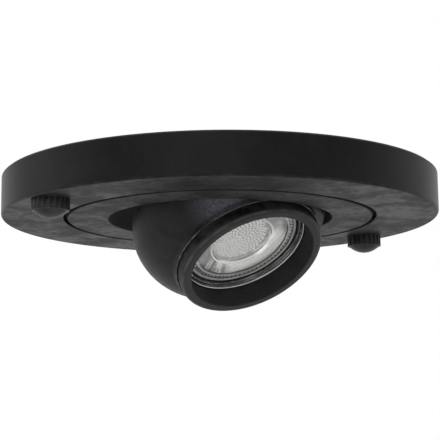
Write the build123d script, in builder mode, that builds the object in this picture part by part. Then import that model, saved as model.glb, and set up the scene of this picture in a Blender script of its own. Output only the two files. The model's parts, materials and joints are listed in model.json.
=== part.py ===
from build123d import *
import os
from math import acos, asin, cos, degrees, radians, sin, tan

os.makedirs("parts", exist_ok=True)

# All sizes are in millimetres. The ceiling is the plane z = 0 and the light hangs below it.
# X runs along the tilt axis and through both thumb nuts. The head aims towards -Y.

# Front glass, its wire ring and its seal
GLASS_RADIUS = 23.0
GLASS_THICKNESS = 2.0
GLASS_PLAY = 0.1
GLASS_RECESS = 9.6
WIRE_RADIUS = 0.6
WIRE_OUT = 0.2
WIRE_GAP = 9.0
SEAL_THICKNESS = 0.8
SEAL_WIDTH = 1.5

# Bezel
BEZEL_PROUD = 4.7
BEZEL_ROUND = 1.7
BEZEL_SHOULDER = 1.4
BEZEL_THREAD_PLAY = 0.1
BEZEL_SEAT_PLAY = 0.2
BORE_STEP = 0.6
MOUTH_TAPER = 0.3
MOUTH_CHAMFER = 0.25
SPIGOT_WALL = 1.5
SEAT_WIDTH = 1.6
SEAT_THICKNESS = 2.4

# Head shell: a round arc with a tighter round behind it and a short neck, turned about the beam axis
BALL_ARC_RADIUS = 20.6
BALL_ARC_FORWARD = 10.0
BALL_FRONT_ANGLE = 55.6
BALL_BACK_ROUND = 14.0
BALL_WALL = 2.2
BALL_NECK = 2.3
BALL_NECK_TAPER = 0.1
BALL_NECK_ROUND = 1.0
BALL_LIP_WIDTH = 0.38
SHADOW_GAP = 0.25
SHADOW_DEPTH = 1.0

# Optic and its holder
OPTIC_DEPTH = 12.9
OPTIC_PLAY = 0.2
OPTIC_BEHIND_GLASS = 0.2
OPTIC_FLANGE_THICKNESS = 1.7
OPTIC_FLANGE_PLAY = 0.8
OPTIC_CONE_INSET = 0.4
OPTIC_WELL_RIM = 2.0
OPTIC_WELL_DEPTH = 3.4
OPTIC_MIDDLE_RADIUS = 10.8
OPTIC_MIDDLE_DEPTH = 2.0
HOLDER_PLAY = 0.7
HOLDER_WALL = 1.4
HOLDER_RIM_HEIGHT = 0.9
HOLDER_NECK_HEIGHT = 1.6
HOLDER_FOOT_THICKNESS = 1.3

# Light source and heat sink
CHIP_RADIUS = 4.0
CHIP_THICKNESS = 0.7
CHIP_EDGE = 0.5
CHIP_PLAY = 0.3
BOARD_THICKNESS = 1.4
BOARD_EDGE = 0.2
BOARD_SCREW_RADIUS = 1.0
BOARD_SCREW_HEAD_RADIUS = 1.7
BOARD_SCREW_HEAD_HEIGHT = 1.1
BOARD_SCREW_LENGTH = 7.0
SLUG_EDGE = 1.2
SLUG_PLAY = 0.7
SINK_EDGE = 1.14
SINK_FLANGE_THICKNESS = 2.0
SINK_SCREW_COUNT = 3
SINK_SCREW_ANGLE = 30.0
SINK_SCREW_RADIUS = 1.1
SINK_SCREW_WALL = 1.0
SINK_SCREW_HEAD_RADIUS = 1.8
SINK_SCREW_HEAD_HEIGHT = 1.3
FIN_EDGE = 1.8
FIN_HEIGHT = 6.0
FIN_THICKNESS = 1.6
FIN_PITCH = 4.0
FIN_COUNT = 7
BACK_GASKET_THICKNESS = 0.6
LEAD_RADIUS = 1.2
LEAD_HOLE_RADIUS = 2.2
GROMMET_FLANGE_RADIUS = 3.4
GROMMET_FLANGE_THICKNESS = 1.2
GROMMET_LENGTH = 3.0
GROMMET_POCKET_PLAY = 0.5

# Tilt pivot
TILT_AT_REST = 35.5
TILT_PLAY = 1.47
PIVOT_CLEARANCE = 0.8
PIVOT_BOSS_RADIUS = 4.6
BOSS_BEHIND_BUSH = 4.0
BUSH_WALL = 1.05
BUSH_LENGTH = 6.6
BUSH_FLANGE_RADIUS = 4.0
BUSH_FLANGE_THICKNESS = 0.7
DOG_RADIUS = 1.5
DOG_SHORT_OF_BUSH = 1.0
PIVOT_SCREW_RADIUS = 2.0
PIVOT_SCREW_INSET = 0.4
PIVOT_SCREW_STANDS_IN = 0.4
SLOT_WIDTH = 0.7
SLOT_DEPTH = 1.2
TILT_WASHER_THICKNESS = 0.7
TILT_SPRING_HEIGHT = 1.6
TILT_SPRING_THICKNESS = 0.45

# Turntable and what holds it
FLANGE_THICKNESS = 2.3
FLANGE_EDGE = 1.7
OPENING_EDGE_ROUND = 0.5
COLLAR_WALL = 4.0
COLLAR_PLAY = 0.4
COLLAR_ABOVE_PIVOT = 3.9
PAN_WASHER_THICKNESS = 0.5
PAN_WASHER_WIDTH = 5.4
PAN_SPRING_HEIGHT = 0.8
PAN_SPRING_THICKNESS = 0.4
PAN_SPRING_WIDTH = 4.8
CLIP_THICKNESS = 1.0
CLIP_DEPTH = 1.0
CLIP_WIDTH = 4.4
CLIP_GAP = 14.0
CLIP_LUG_RADIUS = 2.6
CLIP_HOLE_RADIUS = 0.9
STOP_RADIUS = 1.5
STOP_PLAY = 0.5

# Cover
RIM_WALL = 3.5
RIM_EDGE_ROUND = 0.9
RIM_TOP_ROUND = 0.4
CARRIER_THICKNESS = 1.7
CARRIER_LAP = 6.4
SEAM_GAP = 1.5
SEAM_EDGE_ROUND = 0.35

# Seal on the rim
GASKET_PROUD = 0.5
GASKET_HEIGHT = 1.5
GASKET_WIDTH = 1.6
GASKET_INSET = 0.9

# Mounting ring, its studs and its screw holes
RING_THICKNESS = 2.0
RING_WIDTH = 18.0
RING_SEAM_STEP = 0.3
RING_PLAY = 0.6
STUD_EDGE = 8.6
STUD_RADIUS = 2.0
STUD_END_PLAY = 0.4
STUD_HOLE_PLAY = 0.3
STUD_NUT_FLATS = 7.0
STUD_NUT_HEIGHT = 2.2
SCREW_COUNT = 4
SCREW_RADIUS = 2.25
SCREW_INSET = 8.1

# Thumb nuts
NUT_RADIUS = 6.6
NUT_RIB_HEIGHT = 3.8
NUT_DOME_HEIGHT = 2.5
NUT_DOME_INSET = 0.45
NUT_RIBS = 20
NUT_GROOVE_RADIUS = 0.62
NUT_GROOVE_OUT = 0.14
NUT_BORE_DEPTH = 4.4

# Terminal block
TERMINAL_LENGTH = 30.0
TERMINAL_WIDTH = 12.0
TERMINAL_HEIGHT = 7.6
TERMINAL_ROUND = 1.0
TERMINAL_ROOM = 1.4
TERMINAL_PITCH = 10.0
CLAMP_RADIUS = 2.0
CLAMP_BORE = 1.3
CLAMP_DROP = 4.2
CLAMP_SCREW_RADIUS = 1.3
CLAMP_SCREW_SPACING = 6.0
CLAMP_SCREW_INSET = 0.3
FIXING_RADIUS = 1.2
FIXING_HEAD_RADIUS = 2.2
FIXING_HEAD_HEIGHT = 1.4

# Clearances
PRESS_PLAY = 0.02
RUNNING_PLAY = 0.05
THREAD_PLAY = 0.05
FACE_PLAY = 0.05
SMALL_PLAY = 0.1
LOOSE_PLAY = 0.3

# Heights, from the ceiling down to the face and back up to the pivot
terminal_low = -RING_THICKNESS - TERMINAL_HEIGHT
carrier_top = terminal_low - TERMINAL_ROOM
carrier_low = carrier_top - CARRIER_THICKNESS
face_z = carrier_low - FLANGE_THICKNESS
rim_top = -GASKET_PROUD
washer_top = carrier_top + PAN_WASHER_THICKNESS
spring_top = washer_top + PAN_SPRING_HEIGHT
clip_top = spring_top + CLIP_THICKNESS
pivot_z = clip_top + PIVOT_CLEARANCE + PIVOT_SCREW_RADIUS
collar_top = pivot_z + COLLAR_ABOVE_PIVOT
stud_end = face_z - NUT_BORE_DEPTH + STUD_END_PLAY
nut_end = face_z - NUT_RIB_HEIGHT
clamp_z = -RING_THICKNESS - CLAMP_DROP
tilt = radians(TILT_AT_REST)

# Radii of the head's front, from the glass outwards
seat_radius = GLASS_RADIUS - SEAT_WIDTH
optic_radius = seat_radius - OPTIC_PLAY
wire_circle = GLASS_RADIUS + WIRE_OUT
groove_radius = wire_circle + WIRE_RADIUS + SMALL_PLAY
bore_radius = GLASS_RADIUS + BORE_STEP
mouth_radius = bore_radius - MOUTH_TAPER
spigot_radius = groove_radius + SPIGOT_WALL
thread_radius = spigot_radius + BEZEL_THREAD_PLAY
bezel_radius = thread_radius + BEZEL_SHOULDER
lip_radius = bezel_radius + SHADOW_GAP
ball_front_radius = lip_radius + BALL_LIP_WIDTH
ball_neck_radius = ball_front_radius + BALL_NECK_TAPER
ball_arc_out = ball_neck_radius - BALL_ARC_RADIUS * cos(radians(BALL_FRONT_ANGLE))
optic_flange_radius = spigot_radius - OPTIC_FLANGE_PLAY

# Distances along the beam, from the shell's front backwards
ball_neck_back = BALL_ARC_FORWARD + BALL_ARC_RADIUS * sin(radians(BALL_FRONT_ANGLE))
ball_front = ball_neck_back + BALL_NECK
shadow_floor = ball_front - SHADOW_DEPTH
bezel_step = shadow_floor + BEZEL_SEAT_PLAY
bezel_front = ball_front + BEZEL_PROUD
glass_front = bezel_front - GLASS_RECESS
wire_forward = glass_front + WIRE_RADIUS
groove_front = wire_forward + WIRE_RADIUS + SMALL_PLAY
glass_back = glass_front - GLASS_THICKNESS
seat_front = glass_back - SEAL_THICKNESS
bezel_end = seat_front - SEAT_THICKNESS
thread_end = bezel_end - BEZEL_SEAT_PLAY
optic_front = glass_back - OPTIC_BEHIND_GLASS
optic_middle = optic_front - OPTIC_MIDDLE_DEPTH
optic_back = optic_front - OPTIC_DEPTH
flange_back = bezel_end - OPTIC_FLANGE_THICKNESS
board_front = optic_back - CHIP_THICKNESS - CHIP_PLAY
board_back = board_front - BOARD_THICKNESS
foot_front = board_front + HOLDER_FOOT_THICKNESS
neck_front = foot_front + HOLDER_NECK_HEIGHT

# Radii of the head's inside, from the chip outwards to the back of the shell
well_radius = CHIP_RADIUS + CHIP_EDGE
optic_back_radius = well_radius + OPTIC_WELL_RIM
lead_offset = (CHIP_RADIUS + optic_back_radius + HOLDER_PLAY) / 2
cone_top = optic_radius - OPTIC_CONE_INSET
cone_slope = (cone_top - optic_back_radius) / (flange_back - optic_back)
cone_at_neck = optic_back_radius + cone_slope * (neck_front - optic_back)
neck_radius = cone_at_neck + HOLDER_PLAY + HOLDER_WALL
board_screw_circle = neck_radius + SMALL_PLAY + BOARD_SCREW_HEAD_RADIUS
board_radius = board_screw_circle + BOARD_SCREW_HEAD_RADIUS + BOARD_EDGE
slug_radius = board_radius + SLUG_EDGE
back_hole_radius = slug_radius + SLUG_PLAY
sink_screw_circle = back_hole_radius + SINK_SCREW_WALL + SINK_SCREW_RADIUS
fin_radius = sink_screw_circle - SINK_SCREW_HEAD_RADIUS - FIN_EDGE
sink_flange_radius = sink_screw_circle + SINK_SCREW_HEAD_RADIUS + SMALL_PLAY
ball_back_radius = sink_flange_radius + SINK_EDGE

# The shell's back round ends where it has the radius found above
ball_back_out = ball_arc_out + BALL_ARC_RADIUS - BALL_BACK_ROUND
ball_back_angle = acos((ball_back_radius - ball_back_out) / BALL_BACK_ROUND)
ball_back = BALL_ARC_FORWARD - BALL_BACK_ROUND * sin(ball_back_angle)
gasket_back = ball_back - BACK_GASKET_THICKNESS
sink_back = gasket_back - SINK_FLANGE_THICKNESS

# Radii of the turntable and the cover, from the tilted bezel at the opening outwards
bezel_reach = (pivot_z - face_z) * tan(tilt) + bezel_radius / cos(tilt)
opening_radius = bezel_reach + TILT_PLAY
collar_outer = opening_radius + COLLAR_WALL
carrier_bore = collar_outer + COLLAR_PLAY
clip_inner = collar_outer - CLIP_DEPTH
clip_outer = clip_inner + CLIP_WIDTH
washer_inner = carrier_bore + SMALL_PLAY
washer_outer = washer_inner + PAN_WASHER_WIDTH
stop_circle = washer_outer + STOP_PLAY + STOP_RADIUS
flange_radius = stop_circle + STOP_RADIUS + FLANGE_EDGE
seam_radius = flange_radius + SEAM_GAP
carrier_outer = seam_radius + CARRIER_LAP
ring_inner = seam_radius + RING_SEAM_STEP
ring_outer = ring_inner + RING_WIDTH
rim_inner = ring_outer + RING_PLAY
cover_radius = rim_inner + RIM_WALL
gasket_outer = cover_radius - GASKET_INSET
gasket_inner = gasket_outer - GASKET_WIDTH
screw_circle = ring_inner + SCREW_INSET
stud_x = cover_radius - STUD_EDGE
terminal_y = (ring_inner + ring_outer) / 2

# Distances along the tilt axis, from the opening inwards
screw_end = collar_outer - PIVOT_SCREW_INSET
dog_start = opening_radius - PIVOT_SCREW_STANDS_IN
tilt_washer_end = dog_start - TILT_SPRING_HEIGHT
bush_end = tilt_washer_end - TILT_WASHER_THICKNESS
boss_face = bush_end - BUSH_FLANGE_THICKNESS
bush_start = boss_face - BUSH_LENGTH
boss_start = bush_start - BOSS_BEHIND_BUSH
dog_end = bush_start + DOG_SHORT_OF_BUSH
bush_bore = DOG_RADIUS + RUNNING_PLAY
bush_outer = bush_bore + BUSH_WALL

# The beam axis and the planes of the head
pivot = Vector(0, 0, pivot_z)
beam = Vector(0, -sin(tilt), -cos(tilt))
beam_axis = Axis(pivot, beam)
upright = Plane.XZ
head_section = Plane(origin=pivot, x_dir=(1, 0, 0), z_dir=(0, cos(tilt), -sin(tilt)))


def head_plane(forward):
    """Plane across the head at a distance along the beam, with its second axis towards the upper side."""
    return Plane(origin=pivot + beam * forward, x_dir=(1, 0, 0), z_dir=beam)


def pivot_plane(side, out):
    """Plane across the tilt axis at a distance outwards on one side."""
    return Plane(origin=pivot + Vector(side * out, 0, 0), x_dir=(0, 1, 0), z_dir=(side, 0, 0))


def pivot_section(side):
    """Plane through the tilt axis, with radius first and distance outwards second."""
    return Plane(origin=pivot, x_dir=(0, 0, 1), z_dir=(0, side, 0))


def pivot_axis(side):
    """Tilt axis, pointing outwards on one side."""
    return Axis(pivot, (side, 0, 0))


def outline(plane, *points):
    """Closed outline of (radius, height) points on a plane."""
    with BuildSketch(plane, mode=Mode.PRIVATE) as drawn:
        with BuildLine():
            Polyline(*points, close=True)
        make_face()
    return drawn.sketch


def band(plane, inner, outer, low, high):
    """Rectangular section of a plain ring."""
    return outline(plane, (inner, low), (outer, low), (outer, high), (inner, high))


def cap(radius, start, height):
    """Arc of a round cap, from its rim to its top on the axis."""
    ball = (radius**2 + height**2) / (2 * height)
    rim_angle = degrees(asin((ball - height) / ball))
    return CenterArc((0, start + height - ball), ball, rim_angle, 90 - rim_angle)


SIDES = (-1, 1)
stud_points = [(side * stud_x, 0) for side in SIDES]

# Cover ring: a turned dish with a rebate for the carrier ring
with BuildPart() as cover_ring:
    rebate_radius = carrier_outer + PRESS_PLAY
    revolve(
        outline(
            upright,
            (seam_radius, face_z),
            (cover_radius, face_z),
            (cover_radius, rim_top),
            (gasket_outer + SMALL_PLAY, rim_top),
            (gasket_outer + SMALL_PLAY, -GASKET_HEIGHT),
            (gasket_inner - SMALL_PLAY, -GASKET_HEIGHT),
            (gasket_inner - SMALL_PLAY, rim_top),
            (rim_inner, rim_top),
            (rim_inner, carrier_top),
            (rebate_radius, carrier_top),
            (rebate_radius, carrier_low),
            (seam_radius, carrier_low),
        ),
        axis=Axis.Z,
    )
    rims = cover_ring.edges().filter_by(GeomType.CIRCLE)
    face_rims = rims.filter_by_position(Axis.Z, face_z - 0.01, face_z + 0.01).sort_by(SortBy.RADIUS)
    top_rims = rims.filter_by_position(Axis.Z, rim_top - 0.01, rim_top + 0.01).sort_by(SortBy.RADIUS)
    fillet(face_rims[-1], RIM_EDGE_ROUND)
    fillet(face_rims[0], SEAM_EDGE_ROUND)
    fillet(top_rims[-1], RIM_TOP_ROUND)
    with BuildSketch(Plane.XY.offset(face_z)):
        with Locations(*stud_points):
            Circle(STUD_RADIUS + STUD_HOLE_PLAY)
    extrude(amount=FLANGE_THICKNESS + CARRIER_THICKNESS, mode=Mode.SUBTRACT)
cover_ring.part.label = "cover_ring"
export_step(cover_ring.part, "parts/cover_ring.step")

# Carrier ring, pressed into the rebate of the cover, which the turntable hangs on
with BuildPart() as carrier_ring:
    with BuildSketch(Plane.XY.offset(carrier_low)):
        Circle(carrier_outer)
        Circle(carrier_bore, mode=Mode.SUBTRACT)
        with Locations((0, -stop_circle)):
            Circle(STOP_RADIUS + PRESS_PLAY, mode=Mode.SUBTRACT)
    extrude(amount=CARRIER_THICKNESS)
carrier_ring.part.label = "carrier_ring"
export_step(carrier_ring.part, "parts/carrier_ring.step")

# Seal in the groove of the rim, which meets the ceiling
with BuildPart() as rim_gasket:
    revolve(band(upright, gasket_inner, gasket_outer, -GASKET_HEIGHT, 0), axis=Axis.Z)
rim_gasket.part.label = "rim_gasket"
export_step(rim_gasket.part, "parts/rim_gasket.step")

# Places of the poles and the screws of the terminal block
pole_xs = [n * TERMINAL_PITCH for n in (-1, 0, 1)]
fixing_points = [(n * TERMINAL_PITCH / 2, terminal_y) for n in SIDES]
clamp_screw_points = [(x, terminal_y + n * CLAMP_SCREW_SPACING / 2) for x in pole_xs for n in SIDES]

# Mounting ring, screwed to the ceiling
with BuildPart() as mounting_ring:
    with BuildSketch(Plane.XY.offset(-RING_THICKNESS)):
        Circle(ring_outer)
        Circle(ring_inner, mode=Mode.SUBTRACT)
        with Locations(*stud_points):
            Circle(STUD_RADIUS + PRESS_PLAY, mode=Mode.SUBTRACT)
        with PolarLocations(screw_circle, SCREW_COUNT, start_angle=180 / SCREW_COUNT):
            Circle(SCREW_RADIUS, mode=Mode.SUBTRACT)
        with Locations(*fixing_points):
            Circle(FIXING_RADIUS + PRESS_PLAY, mode=Mode.SUBTRACT)
    extrude(amount=RING_THICKNESS)
mounting_ring.part.label = "mounting_ring"
export_step(mounting_ring.part, "parts/mounting_ring.step")

# Two threaded studs that hang from the mounting ring through the cover
with BuildPart() as cover_studs:
    with BuildSketch(Plane.XY.offset(stud_end)):
        with Locations(*stud_points):
            Circle(STUD_RADIUS)
    extrude(amount=-stud_end)
    chamfer(cover_studs.edges().group_by(Axis.Z)[0], STUD_RADIUS / 4)
cover_studs.part.label = "cover_studs"
export_step(cover_studs.part, "parts/cover_studs.step")

# Thin nuts that lock the studs in the ring
with BuildPart() as stud_nuts:
    with BuildSketch(Plane.XY.offset(-RING_THICKNESS - STUD_NUT_HEIGHT)):
        with Locations(*stud_points):
            RegularPolygon(STUD_NUT_FLATS / 2, 6, major_radius=False)
            Circle(STUD_RADIUS + PRESS_PLAY, mode=Mode.SUBTRACT)
    extrude(amount=STUD_NUT_HEIGHT)
stud_nuts.part.label = "stud_nuts"
export_step(stud_nuts.part, "parts/stud_nuts.step")

# Terminal block with three poles
with BuildPart() as terminal_block:
    with BuildSketch(Plane.XY.offset(terminal_low)):
        with Locations((0, terminal_y)):
            RectangleRounded(TERMINAL_LENGTH, TERMINAL_WIDTH, TERMINAL_ROUND)
    extrude(amount=TERMINAL_HEIGHT)
    with BuildSketch(Plane.XZ.offset(-terminal_y - TERMINAL_WIDTH / 2)):
        with Locations(*[(x, clamp_z) for x in pole_xs]):
            Circle(CLAMP_RADIUS + PRESS_PLAY)
    extrude(amount=TERMINAL_WIDTH, mode=Mode.SUBTRACT)
    with BuildSketch(Plane.XY.offset(terminal_low)):
        with Locations(*clamp_screw_points):
            Circle(CLAMP_SCREW_RADIUS + SMALL_PLAY)
    extrude(amount=clamp_z - terminal_low, mode=Mode.SUBTRACT)
    with BuildSketch(Plane.XY.offset(terminal_low)):
        with Locations(*fixing_points):
            Circle(FIXING_RADIUS + SMALL_PLAY)
    extrude(amount=TERMINAL_HEIGHT, mode=Mode.SUBTRACT)
    with BuildSketch(Plane.XY.offset(terminal_low)):
        with Locations(*fixing_points):
            Circle(FIXING_HEAD_RADIUS + SMALL_PLAY)
    extrude(amount=FIXING_HEAD_HEIGHT, mode=Mode.SUBTRACT)
terminal_block.part.label = "terminal_block"
export_step(terminal_block.part, "parts/terminal_block.step")

# Brass tubes of the terminal block
with BuildPart() as terminal_clamps:
    with BuildSketch(Plane.XZ.offset(-terminal_y - TERMINAL_WIDTH / 2 + SMALL_PLAY)):
        with Locations(*[(x, clamp_z) for x in pole_xs]):
            Circle(CLAMP_RADIUS)
            Circle(CLAMP_BORE, mode=Mode.SUBTRACT)
    extrude(amount=TERMINAL_WIDTH - 2 * SMALL_PLAY)
terminal_clamps.part.label = "terminal_clamps"
export_step(terminal_clamps.part, "parts/terminal_clamps.step")

# Small screws that press on the wires
with BuildPart() as terminal_screws:
    with BuildSketch(Plane.XY.offset(terminal_low + CLAMP_SCREW_INSET)):
        with Locations(*clamp_screw_points):
            Circle(CLAMP_SCREW_RADIUS)
    extrude(until=Until.NEXT, target=terminal_clamps.part)
terminal_screws.part.label = "terminal_screws"
export_step(terminal_screws.part, "parts/terminal_screws.step")

# Screws that hold the terminal block to the ring
with BuildPart() as terminal_fixings:
    with BuildSketch(Plane.XY.offset(terminal_low)):
        with Locations(*fixing_points):
            Circle(FIXING_HEAD_RADIUS)
    extrude(amount=FIXING_HEAD_HEIGHT)
    with BuildSketch(Plane.XY.offset(terminal_low)):
        with Locations(*fixing_points):
            Circle(FIXING_RADIUS)
    extrude(amount=-terminal_low - SMALL_PLAY)
    with BuildSketch(Plane.XY.offset(terminal_low)):
        with Locations(*fixing_points):
            Rectangle(2 * FIXING_HEAD_RADIUS, SLOT_WIDTH)
    extrude(amount=FIXING_HEAD_HEIGHT / 2, mode=Mode.SUBTRACT)
terminal_fixings.part.label = "terminal_fixings"
export_step(terminal_fixings.part, "parts/terminal_fixings.step")

# Pin in the carrier ring that stops the turntable
with BuildPart() as pan_stop_post:
    with BuildSketch(Plane.XY.offset(carrier_low + SMALL_PLAY)):
        with Locations((0, -stop_circle)):
            Circle(STOP_RADIUS)
    extrude(amount=pivot_z + STOP_RADIUS - carrier_low)
    chamfer(pan_stop_post.edges().group_by(Axis.Z)[-1], STOP_RADIUS / 5)
pan_stop_post.part.label = "pan_stop_post"
export_step(pan_stop_post.part, "parts/pan_stop_post.step")

# Flat friction washer on the carrier ring
with BuildPart() as pan_washer:
    revolve(band(upright, washer_inner, washer_outer, carrier_top, washer_top), axis=Axis.Z)
pan_washer.part.label = "pan_washer"
export_step(pan_washer.part, "parts/pan_washer.step")

# Two ribbed thumb nuts with domed ends
for side, name in zip(SIDES, ("thumb_nut_left", "thumb_nut_right")):
    with BuildPart() as thumb_nut:
        nut_centre = Vector(side * stud_x, 0, nut_end)
        nut_section = Plane(origin=nut_centre, x_dir=(1, 0, 0), z_dir=(0, 1, 0))
        with BuildSketch(Plane.XY.offset(nut_end)):
            with Locations((side * stud_x, 0)):
                Circle(NUT_RADIUS)
                with PolarLocations(NUT_RADIUS + NUT_GROOVE_OUT, NUT_RIBS):
                    Circle(NUT_GROOVE_RADIUS, mode=Mode.SUBTRACT)
        extrude(amount=NUT_RIB_HEIGHT)
        with BuildSketch(nut_section):
            with BuildLine():
                dome = cap(NUT_RADIUS - NUT_DOME_INSET, 0, NUT_DOME_HEIGHT)
                Polyline(dome @ 1, (0, 0), dome @ 0)
            make_face()
        revolve(axis=Axis(nut_centre, (0, 0, -1)))
        with BuildSketch(Plane.XY.offset(face_z - NUT_BORE_DEPTH)):
            with Locations((side * stud_x, 0)):
                Circle(STUD_RADIUS + THREAD_PLAY)
        extrude(amount=NUT_BORE_DEPTH, mode=Mode.SUBTRACT)
    thumb_nut.part.label = name
    export_step(thumb_nut.part, f"parts/{name}.step")

# Turntable: flange flush with the cover's face and a collar that carries the pivots
with BuildPart() as turntable:
    revolve(
        outline(
            upright,
            (opening_radius, face_z),
            (flange_radius, face_z),
            (flange_radius, carrier_low),
            (collar_outer, carrier_low),
            (collar_outer, spring_top - FACE_PLAY),
            (clip_inner - FACE_PLAY, spring_top - FACE_PLAY),
            (clip_inner - FACE_PLAY, clip_top + FACE_PLAY),
            (collar_outer, clip_top + FACE_PLAY),
            (collar_outer, collar_top),
            (opening_radius, collar_top),
        ),
        axis=Axis.Z,
    )
    rims = turntable.edges().filter_by(GeomType.CIRCLE)
    face_rims = rims.filter_by_position(Axis.Z, face_z - 0.01, face_z + 0.01).sort_by(SortBy.RADIUS)
    fillet(face_rims[-1], SEAM_EDGE_ROUND)
    fillet(face_rims[0], OPENING_EDGE_ROUND)
    for side in SIDES:
        with BuildSketch(pivot_plane(side, 0)):
            Circle(PIVOT_SCREW_RADIUS + PRESS_PLAY)
        extrude(amount=flange_radius, mode=Mode.SUBTRACT)
    with BuildSketch(Plane(origin=pivot, x_dir=(1, 0, 0), z_dir=(0, 1, 0))):
        Circle(STOP_RADIUS + PRESS_PLAY)
    extrude(amount=flange_radius, mode=Mode.SUBTRACT)
turntable.part.label = "turntable"
export_step(turntable.part, "parts/turntable.step")

# Dished spring that draws the turntable up against the carrier ring
with BuildPart() as disc_spring:
    spring_inner = washer_inner
    spring_outer = spring_inner + PAN_SPRING_WIDTH
    low, high = washer_top + FACE_PLAY, spring_top - FACE_PLAY
    revolve(
        outline(
            upright,
            (spring_outer, low),
            (spring_outer, low + PAN_SPRING_THICKNESS),
            (spring_inner, high),
            (spring_inner, high - PAN_SPRING_THICKNESS),
        ),
        axis=Axis.Z,
    )
disc_spring.part.label = "disc_spring"
export_step(disc_spring.part, "parts/disc_spring.step")

# Snap ring in the groove of the collar, open on one side between two lugs
with BuildPart() as pan_circlip:
    with BuildSketch(Plane.XY.offset(spring_top)):
        Circle(clip_outer)
        Circle(clip_inner, mode=Mode.SUBTRACT)
        with Locations((0, -(clip_inner + clip_outer) / 2)):
            Rectangle(CLIP_GAP, 2 * CLIP_WIDTH, mode=Mode.SUBTRACT)
        lug_y = -(clip_outer - CLIP_LUG_RADIUS)
        with Locations(*[(side * (CLIP_GAP / 2 + CLIP_LUG_RADIUS / 2), lug_y) for side in SIDES]):
            Circle(CLIP_LUG_RADIUS)
            Circle(CLIP_HOLE_RADIUS, mode=Mode.SUBTRACT)
        Circle(clip_inner, mode=Mode.SUBTRACT)
    extrude(amount=CLIP_THICKNESS)
pan_circlip.part.label = "pan_circlip"
export_step(pan_circlip.part, "parts/pan_circlip.step")

# Pin in the collar that meets the stop post
with BuildPart() as pan_stop_arm:
    arm_start = opening_radius + STOP_PLAY
    with BuildSketch(Plane(origin=pivot + Vector(0, arm_start, 0), x_dir=(1, 0, 0), z_dir=(0, 1, 0))):
        Circle(STOP_RADIUS)
    extrude(amount=stop_circle + STOP_RADIUS - arm_start)
    chamfer(pan_stop_arm.edges().group_by(Axis.Y)[-1], STOP_RADIUS / 5)
pan_stop_arm.part.label = "pan_stop_arm"
export_step(pan_stop_arm.part, "parts/pan_stop_arm.step")

# Two pointed screws in the collar that the head tilts on
with BuildPart() as pivot_screws:
    for side in SIDES:
        revolve(
            outline(
                pivot_section(side),
                (0, dog_end),
                (DOG_RADIUS, dog_end),
                (DOG_RADIUS, dog_start),
                (PIVOT_SCREW_RADIUS, dog_start),
                (PIVOT_SCREW_RADIUS, screw_end),
                (0, screw_end),
            ),
            axis=pivot_axis(side),
        )
        with BuildSketch(pivot_plane(side, screw_end)):
            Rectangle(SLOT_WIDTH, 2 * PIVOT_SCREW_RADIUS)
        extrude(amount=-SLOT_DEPTH, mode=Mode.SUBTRACT)
pivot_screws.part.label = "pivot_screws"
export_step(pivot_screws.part, "parts/pivot_screws.step")

# Dished springs that press the friction washers against the head
with BuildPart() as tilt_springs:
    spring_bore = DOG_RADIUS + RUNNING_PLAY
    low, high = tilt_washer_end + FACE_PLAY, dog_start - FACE_PLAY
    for side in SIDES:
        revolve(
            outline(
                pivot_section(side),
                (BUSH_FLANGE_RADIUS, low),
                (BUSH_FLANGE_RADIUS, low + TILT_SPRING_THICKNESS),
                (spring_bore, high),
                (spring_bore, high - TILT_SPRING_THICKNESS),
            ),
            axis=pivot_axis(side),
        )
tilt_springs.part.label = "tilt_springs"
export_step(tilt_springs.part, "parts/tilt_springs.step")

# Friction washers that turn with the head
with BuildPart() as tilt_washers:
    for side in SIDES:
        washer_bore = DOG_RADIUS + LOOSE_PLAY
        washer_section = band(pivot_section(side), washer_bore, BUSH_FLANGE_RADIUS, bush_end, tilt_washer_end)
        revolve(washer_section, axis=pivot_axis(side))
tilt_washers.part.label = "tilt_washers"
export_step(tilt_washers.part, "parts/tilt_washers.step")

# Flanged brass bushes in the head
with BuildPart() as pivot_bushes:
    for side in SIDES:
        revolve(
            outline(
                pivot_section(side),
                (bush_bore, bush_start),
                (bush_outer, bush_start),
                (bush_outer, boss_face),
                (BUSH_FLANGE_RADIUS, boss_face),
                (BUSH_FLANGE_RADIUS, bush_end),
                (bush_bore, bush_end),
            ),
            axis=pivot_axis(side),
        )
pivot_bushes.part.label = "pivot_bushes"
export_step(pivot_bushes.part, "parts/pivot_bushes.step")

def arc_angle(forward, radius):
    """Angle on the head's arc at a distance along the beam."""
    return degrees(asin((forward - BALL_ARC_FORWARD) / radius))


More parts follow.
